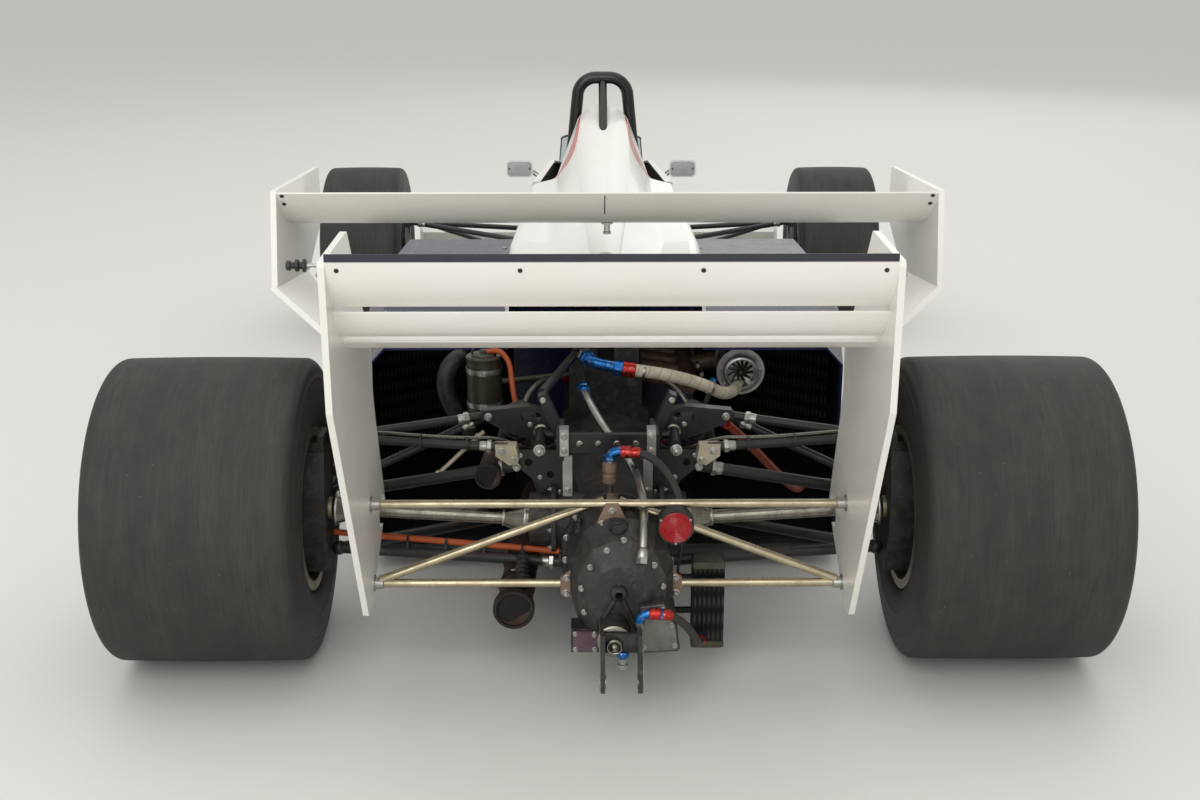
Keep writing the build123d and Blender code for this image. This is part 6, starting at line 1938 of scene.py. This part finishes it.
    def build_dash(self) -> None:
        """Builds the dash with three dials and switches, and the gear lever."""
        plate("dash_panel", FLOOR_SHEET, (
            (-112, 652), (112, 652), (118, 690), (100, 716), (60, 728), (-60, 728), (-100, 716), (-118, 690)),
            self.dash_at, 5, 1)
        trim, marks, faces = (Workpiece() for _ in range(3))
        for across, height, radius in ((0, 692, 30), (-68, 690, 21), (68, 690, 21)):
            seat = spot(across, self.dash_at, height)
            trim.turn(seat, ASTERN, ((-2, radius + 3), (5, radius + 2.6), (7, radius), (7, radius - 2),
                                     (2, radius - 2.4), (-2, radius - 2.4)), 40, looped=True)
            faces.turn(seat, ASTERN, ((-2, radius - 2), (2.2, radius - 2)), 40)
            inner, outer = radius * 0.68, radius * 0.86
            mark = (((inner, -0.7), (outer, -0.7), (outer, 0.7), (inner, 0.7)), 2.2, 0.5)
            hand = (((-5, -1), (radius * 0.74, -0.4), (radius * 0.74, 0.4), (-5, 1)), 3.4, 0.8)
            for degrees, (outline, proud, thickness) in (
                    *((225 - 27 * tick, mark) for tick in range(11)), (160, hand)):
                a = math.radians(degrees)
                arm = Vector((-math.cos(a), 0, math.sin(a)))
                marks.slab(outline, seat + ASTERN * proud * MM, arm, arm.cross(ASTERN), thickness, 0.1)
        for across in (-34, -14, 14, 34):
            seat = spot(across, self.dash_at, 656 if abs(across) < 20 else 664)
            trim.turn(seat, ASTERN, ((-1, 4.5), (2, 4.5), (3, 2), (12, 2.6), (13, 1.6)), 12)
        lever = smooth_line(((-178, 1900, 420), (-172, 1896, 480), (-168, 1880, 560)))
        tube("gear_lever", BRIGHT_STEEL, lever, 5, 12)
        trim.turn(spot(-168, 1880, 556), Z_AXIS, ((-2, 8), (4, 14), (14, 17), (24, 16), (31, 10), (33, 4)), 24)
        trim.finish("dash_trim", GLOSS_BLACK)
        faces.finish("dial_faces", BLACK_RUBBER)
        marks.finish("dial_marks", DIAL_MARK)

    def build_mirrors(self) -> None:
        """Sets the silvered glass and its two screws in the rear face of each mirror."""
        for side in Side:
            glass, screws = Workpiece(), Workpiece()
            place = spot(side.value * 266.5, 1898.6, 752)
            glass.slab(rounded(79, 48, 12), place, X_AXIS, Z_AXIS, 2, 0.6)
            glass.finish(f"mirror_glass_{side.word}", MIRROR_GLASS)
            for across in (-33, 33):
                DomedScrew(3.2).fit(screws, place + X_AXIS * across * MM, ASTERN)
            screws.finish(f"mirror_screws_{side.word}", BLACK_RUBBER)

    def build_screen_edge(self) -> None:
        """Runs a rubber bead along the top of the screen."""
        path = [spot(130 * math.cos(a), 1985 + 130 * math.sin(a), 838)
                for a in (math.pi * step / 32 for step in range(33))]
        tube("screen_bead", BLACK_RUBBER, path, 3.4, 10)


# ---------------------------------------------------------------- studio
@dataclass
class Studio:
    """A pale floor, soft lamps and the camera behind the car."""

    floor_colour: str = "#DFDEDA"
    seen_colour: str = "#DEDDD9"
    light_colour: str = "#F4F4F2"
    floor_size: float = 160.0
    lens: float = 46.0
    camera_across: float = 0.0376
    camera_behind: float = 3.1015  # of the rear axle
    camera_height: float = 1.5775
    pitch: float = 0.3133
    yaw: float = 0.0068
    # each lamp: its place, what it faces, its size in metres and its power in watts
    lamps: tuple[tuple, ...] = (
        ("softbox_above", (0.3, 0.0, 7.0), (0, 0, 0), 10.0, 210),
        ("softbox_behind", (1.6, 7.8, 4.2), (0, 1.2, 0.5), 6.0, 210),
        ("softbox_ahead", (-3.0, -7.5, 4.4), (0, -0.8, 0.4), 6.0, 70))
    surround_strength: float = 0.72

    def build(self) -> None:
        """Sets up the floor, the lamps, the surroundings and the camera."""
        self.lay_floor()
        self.light()
        self.surround()
        self.aim_camera()

    def lay_floor(self) -> None:
        """Lays the pale floor that the car stands on."""
        bpy.ops.mesh.primitive_plane_add(size=self.floor_size, location=(0, 0, 0))
        floor = bpy.context.object
        floor.name = "studio_floor"
        material = bpy.data.materials.new("studio_floor_paint")
        material.use_nodes = True
        shader = material.node_tree.nodes["Principled BSDF"]
        shader.inputs["Base Color"].default_value = linear(self.floor_colour)
        shader.inputs["Roughness"].default_value = 0.7
        floor.data.materials.append(material)

    def light(self) -> None:
        """Hangs the softboxes: one above, one behind the camera and one ahead of the nose."""
        for name, place, target, size, watts in self.lamps:
            lamp = bpy.data.lights.new(name, "AREA")
            lamp.shape = "SQUARE"
            lamp.size = size
            lamp.energy = watts
            hung = bpy.data.objects.new(name, lamp)
            hung.location = place
            hung.rotation_euler = (Vector(target) - Vector(place)).to_track_quat("-Z", "Y").to_euler()
            bpy.context.scene.collection.objects.link(hung)

    def surround(self) -> None:
        """Fills the surroundings with plain soft light, as pale as the floor where they are seen."""
        world = bpy.data.worlds.new("studio")
        world.use_nodes = True
        tree = world.node_tree
        tree.nodes.clear()
        path = add_node(tree, "ShaderNodeLightPath")
        seen = add_node(tree, "ShaderNodeBackground", {"Color": linear(self.seen_colour), "Strength": 1.0})
        light = add_node(tree, "ShaderNodeBackground", {
            "Color": linear(self.light_colour), "Strength": self.surround_strength})
        rays = path.outputs["Is Camera Ray"]
        for kind in ("Is Glossy Ray", "Is Transmission Ray"):
            rays = add_node(tree, "ShaderNodeMath", {0: rays, 1: path.outputs[kind]},
                            operation="MAXIMUM").outputs["Value"]
        choice = add_node(tree, "ShaderNodeMixShader", {
            0: rays, 1: light.outputs["Background"], 2: seen.outputs["Background"]})
        output = add_node(tree, "ShaderNodeOutputWorld")
        tree.links.new(choice.outputs["Shader"], output.inputs["Surface"])
        bpy.context.scene.world = world

    def aim_camera(self) -> None:
        """Stands the camera behind and above the car, looking ahead and down."""
        camera = bpy.data.objects.new("camera", bpy.data.cameras.new("camera"))
        camera.data.lens = self.lens
        camera.data.sensor_width = 36.0
        camera.data.clip_end = 400.0
        camera.location = (self.camera_across, Axle.REAR.place.y + self.camera_behind, self.camera_height)
        look = Vector((-math.sin(self.yaw) * math.cos(self.pitch), -math.cos(self.yaw) * math.cos(self.pitch),
                       -math.sin(self.pitch)))
        camera.rotation_euler = look.to_track_quat("-Z", "Y").to_euler()
        bpy.context.scene.collection.objects.link(camera)
        bpy.context.scene.camera = camera


def main() -> None:
    """Dresses the frame, builds the sub-assemblies in order and sets up the studio."""
    logging.basicConfig(level=logging.INFO, format="%(name)s %(message)s")
    bpy.context.scene.view_settings.view_transform = "Standard"
    Studio().build()
    dress_frame()
    for side in Side:
        for axle, disc_at, brake_at in ((Axle.REAR, 20.0, -92.0), (Axle.FRONT, 34.0, -62.0)):
            SlickTyre(axle, side).build()
            WheelFittings(axle, side, disc_at, brake_at).build()
    for assembly in (Plumbing, LinkEnds, RodsAndBellows, GearboxFittings, RockerFittings, TurboAndTank,
                     RainLamp, CoolerFins, WingFittings, PanelFasteners, Cockpit):
        assembly().build()


if __name__ == "__main__":
    main()
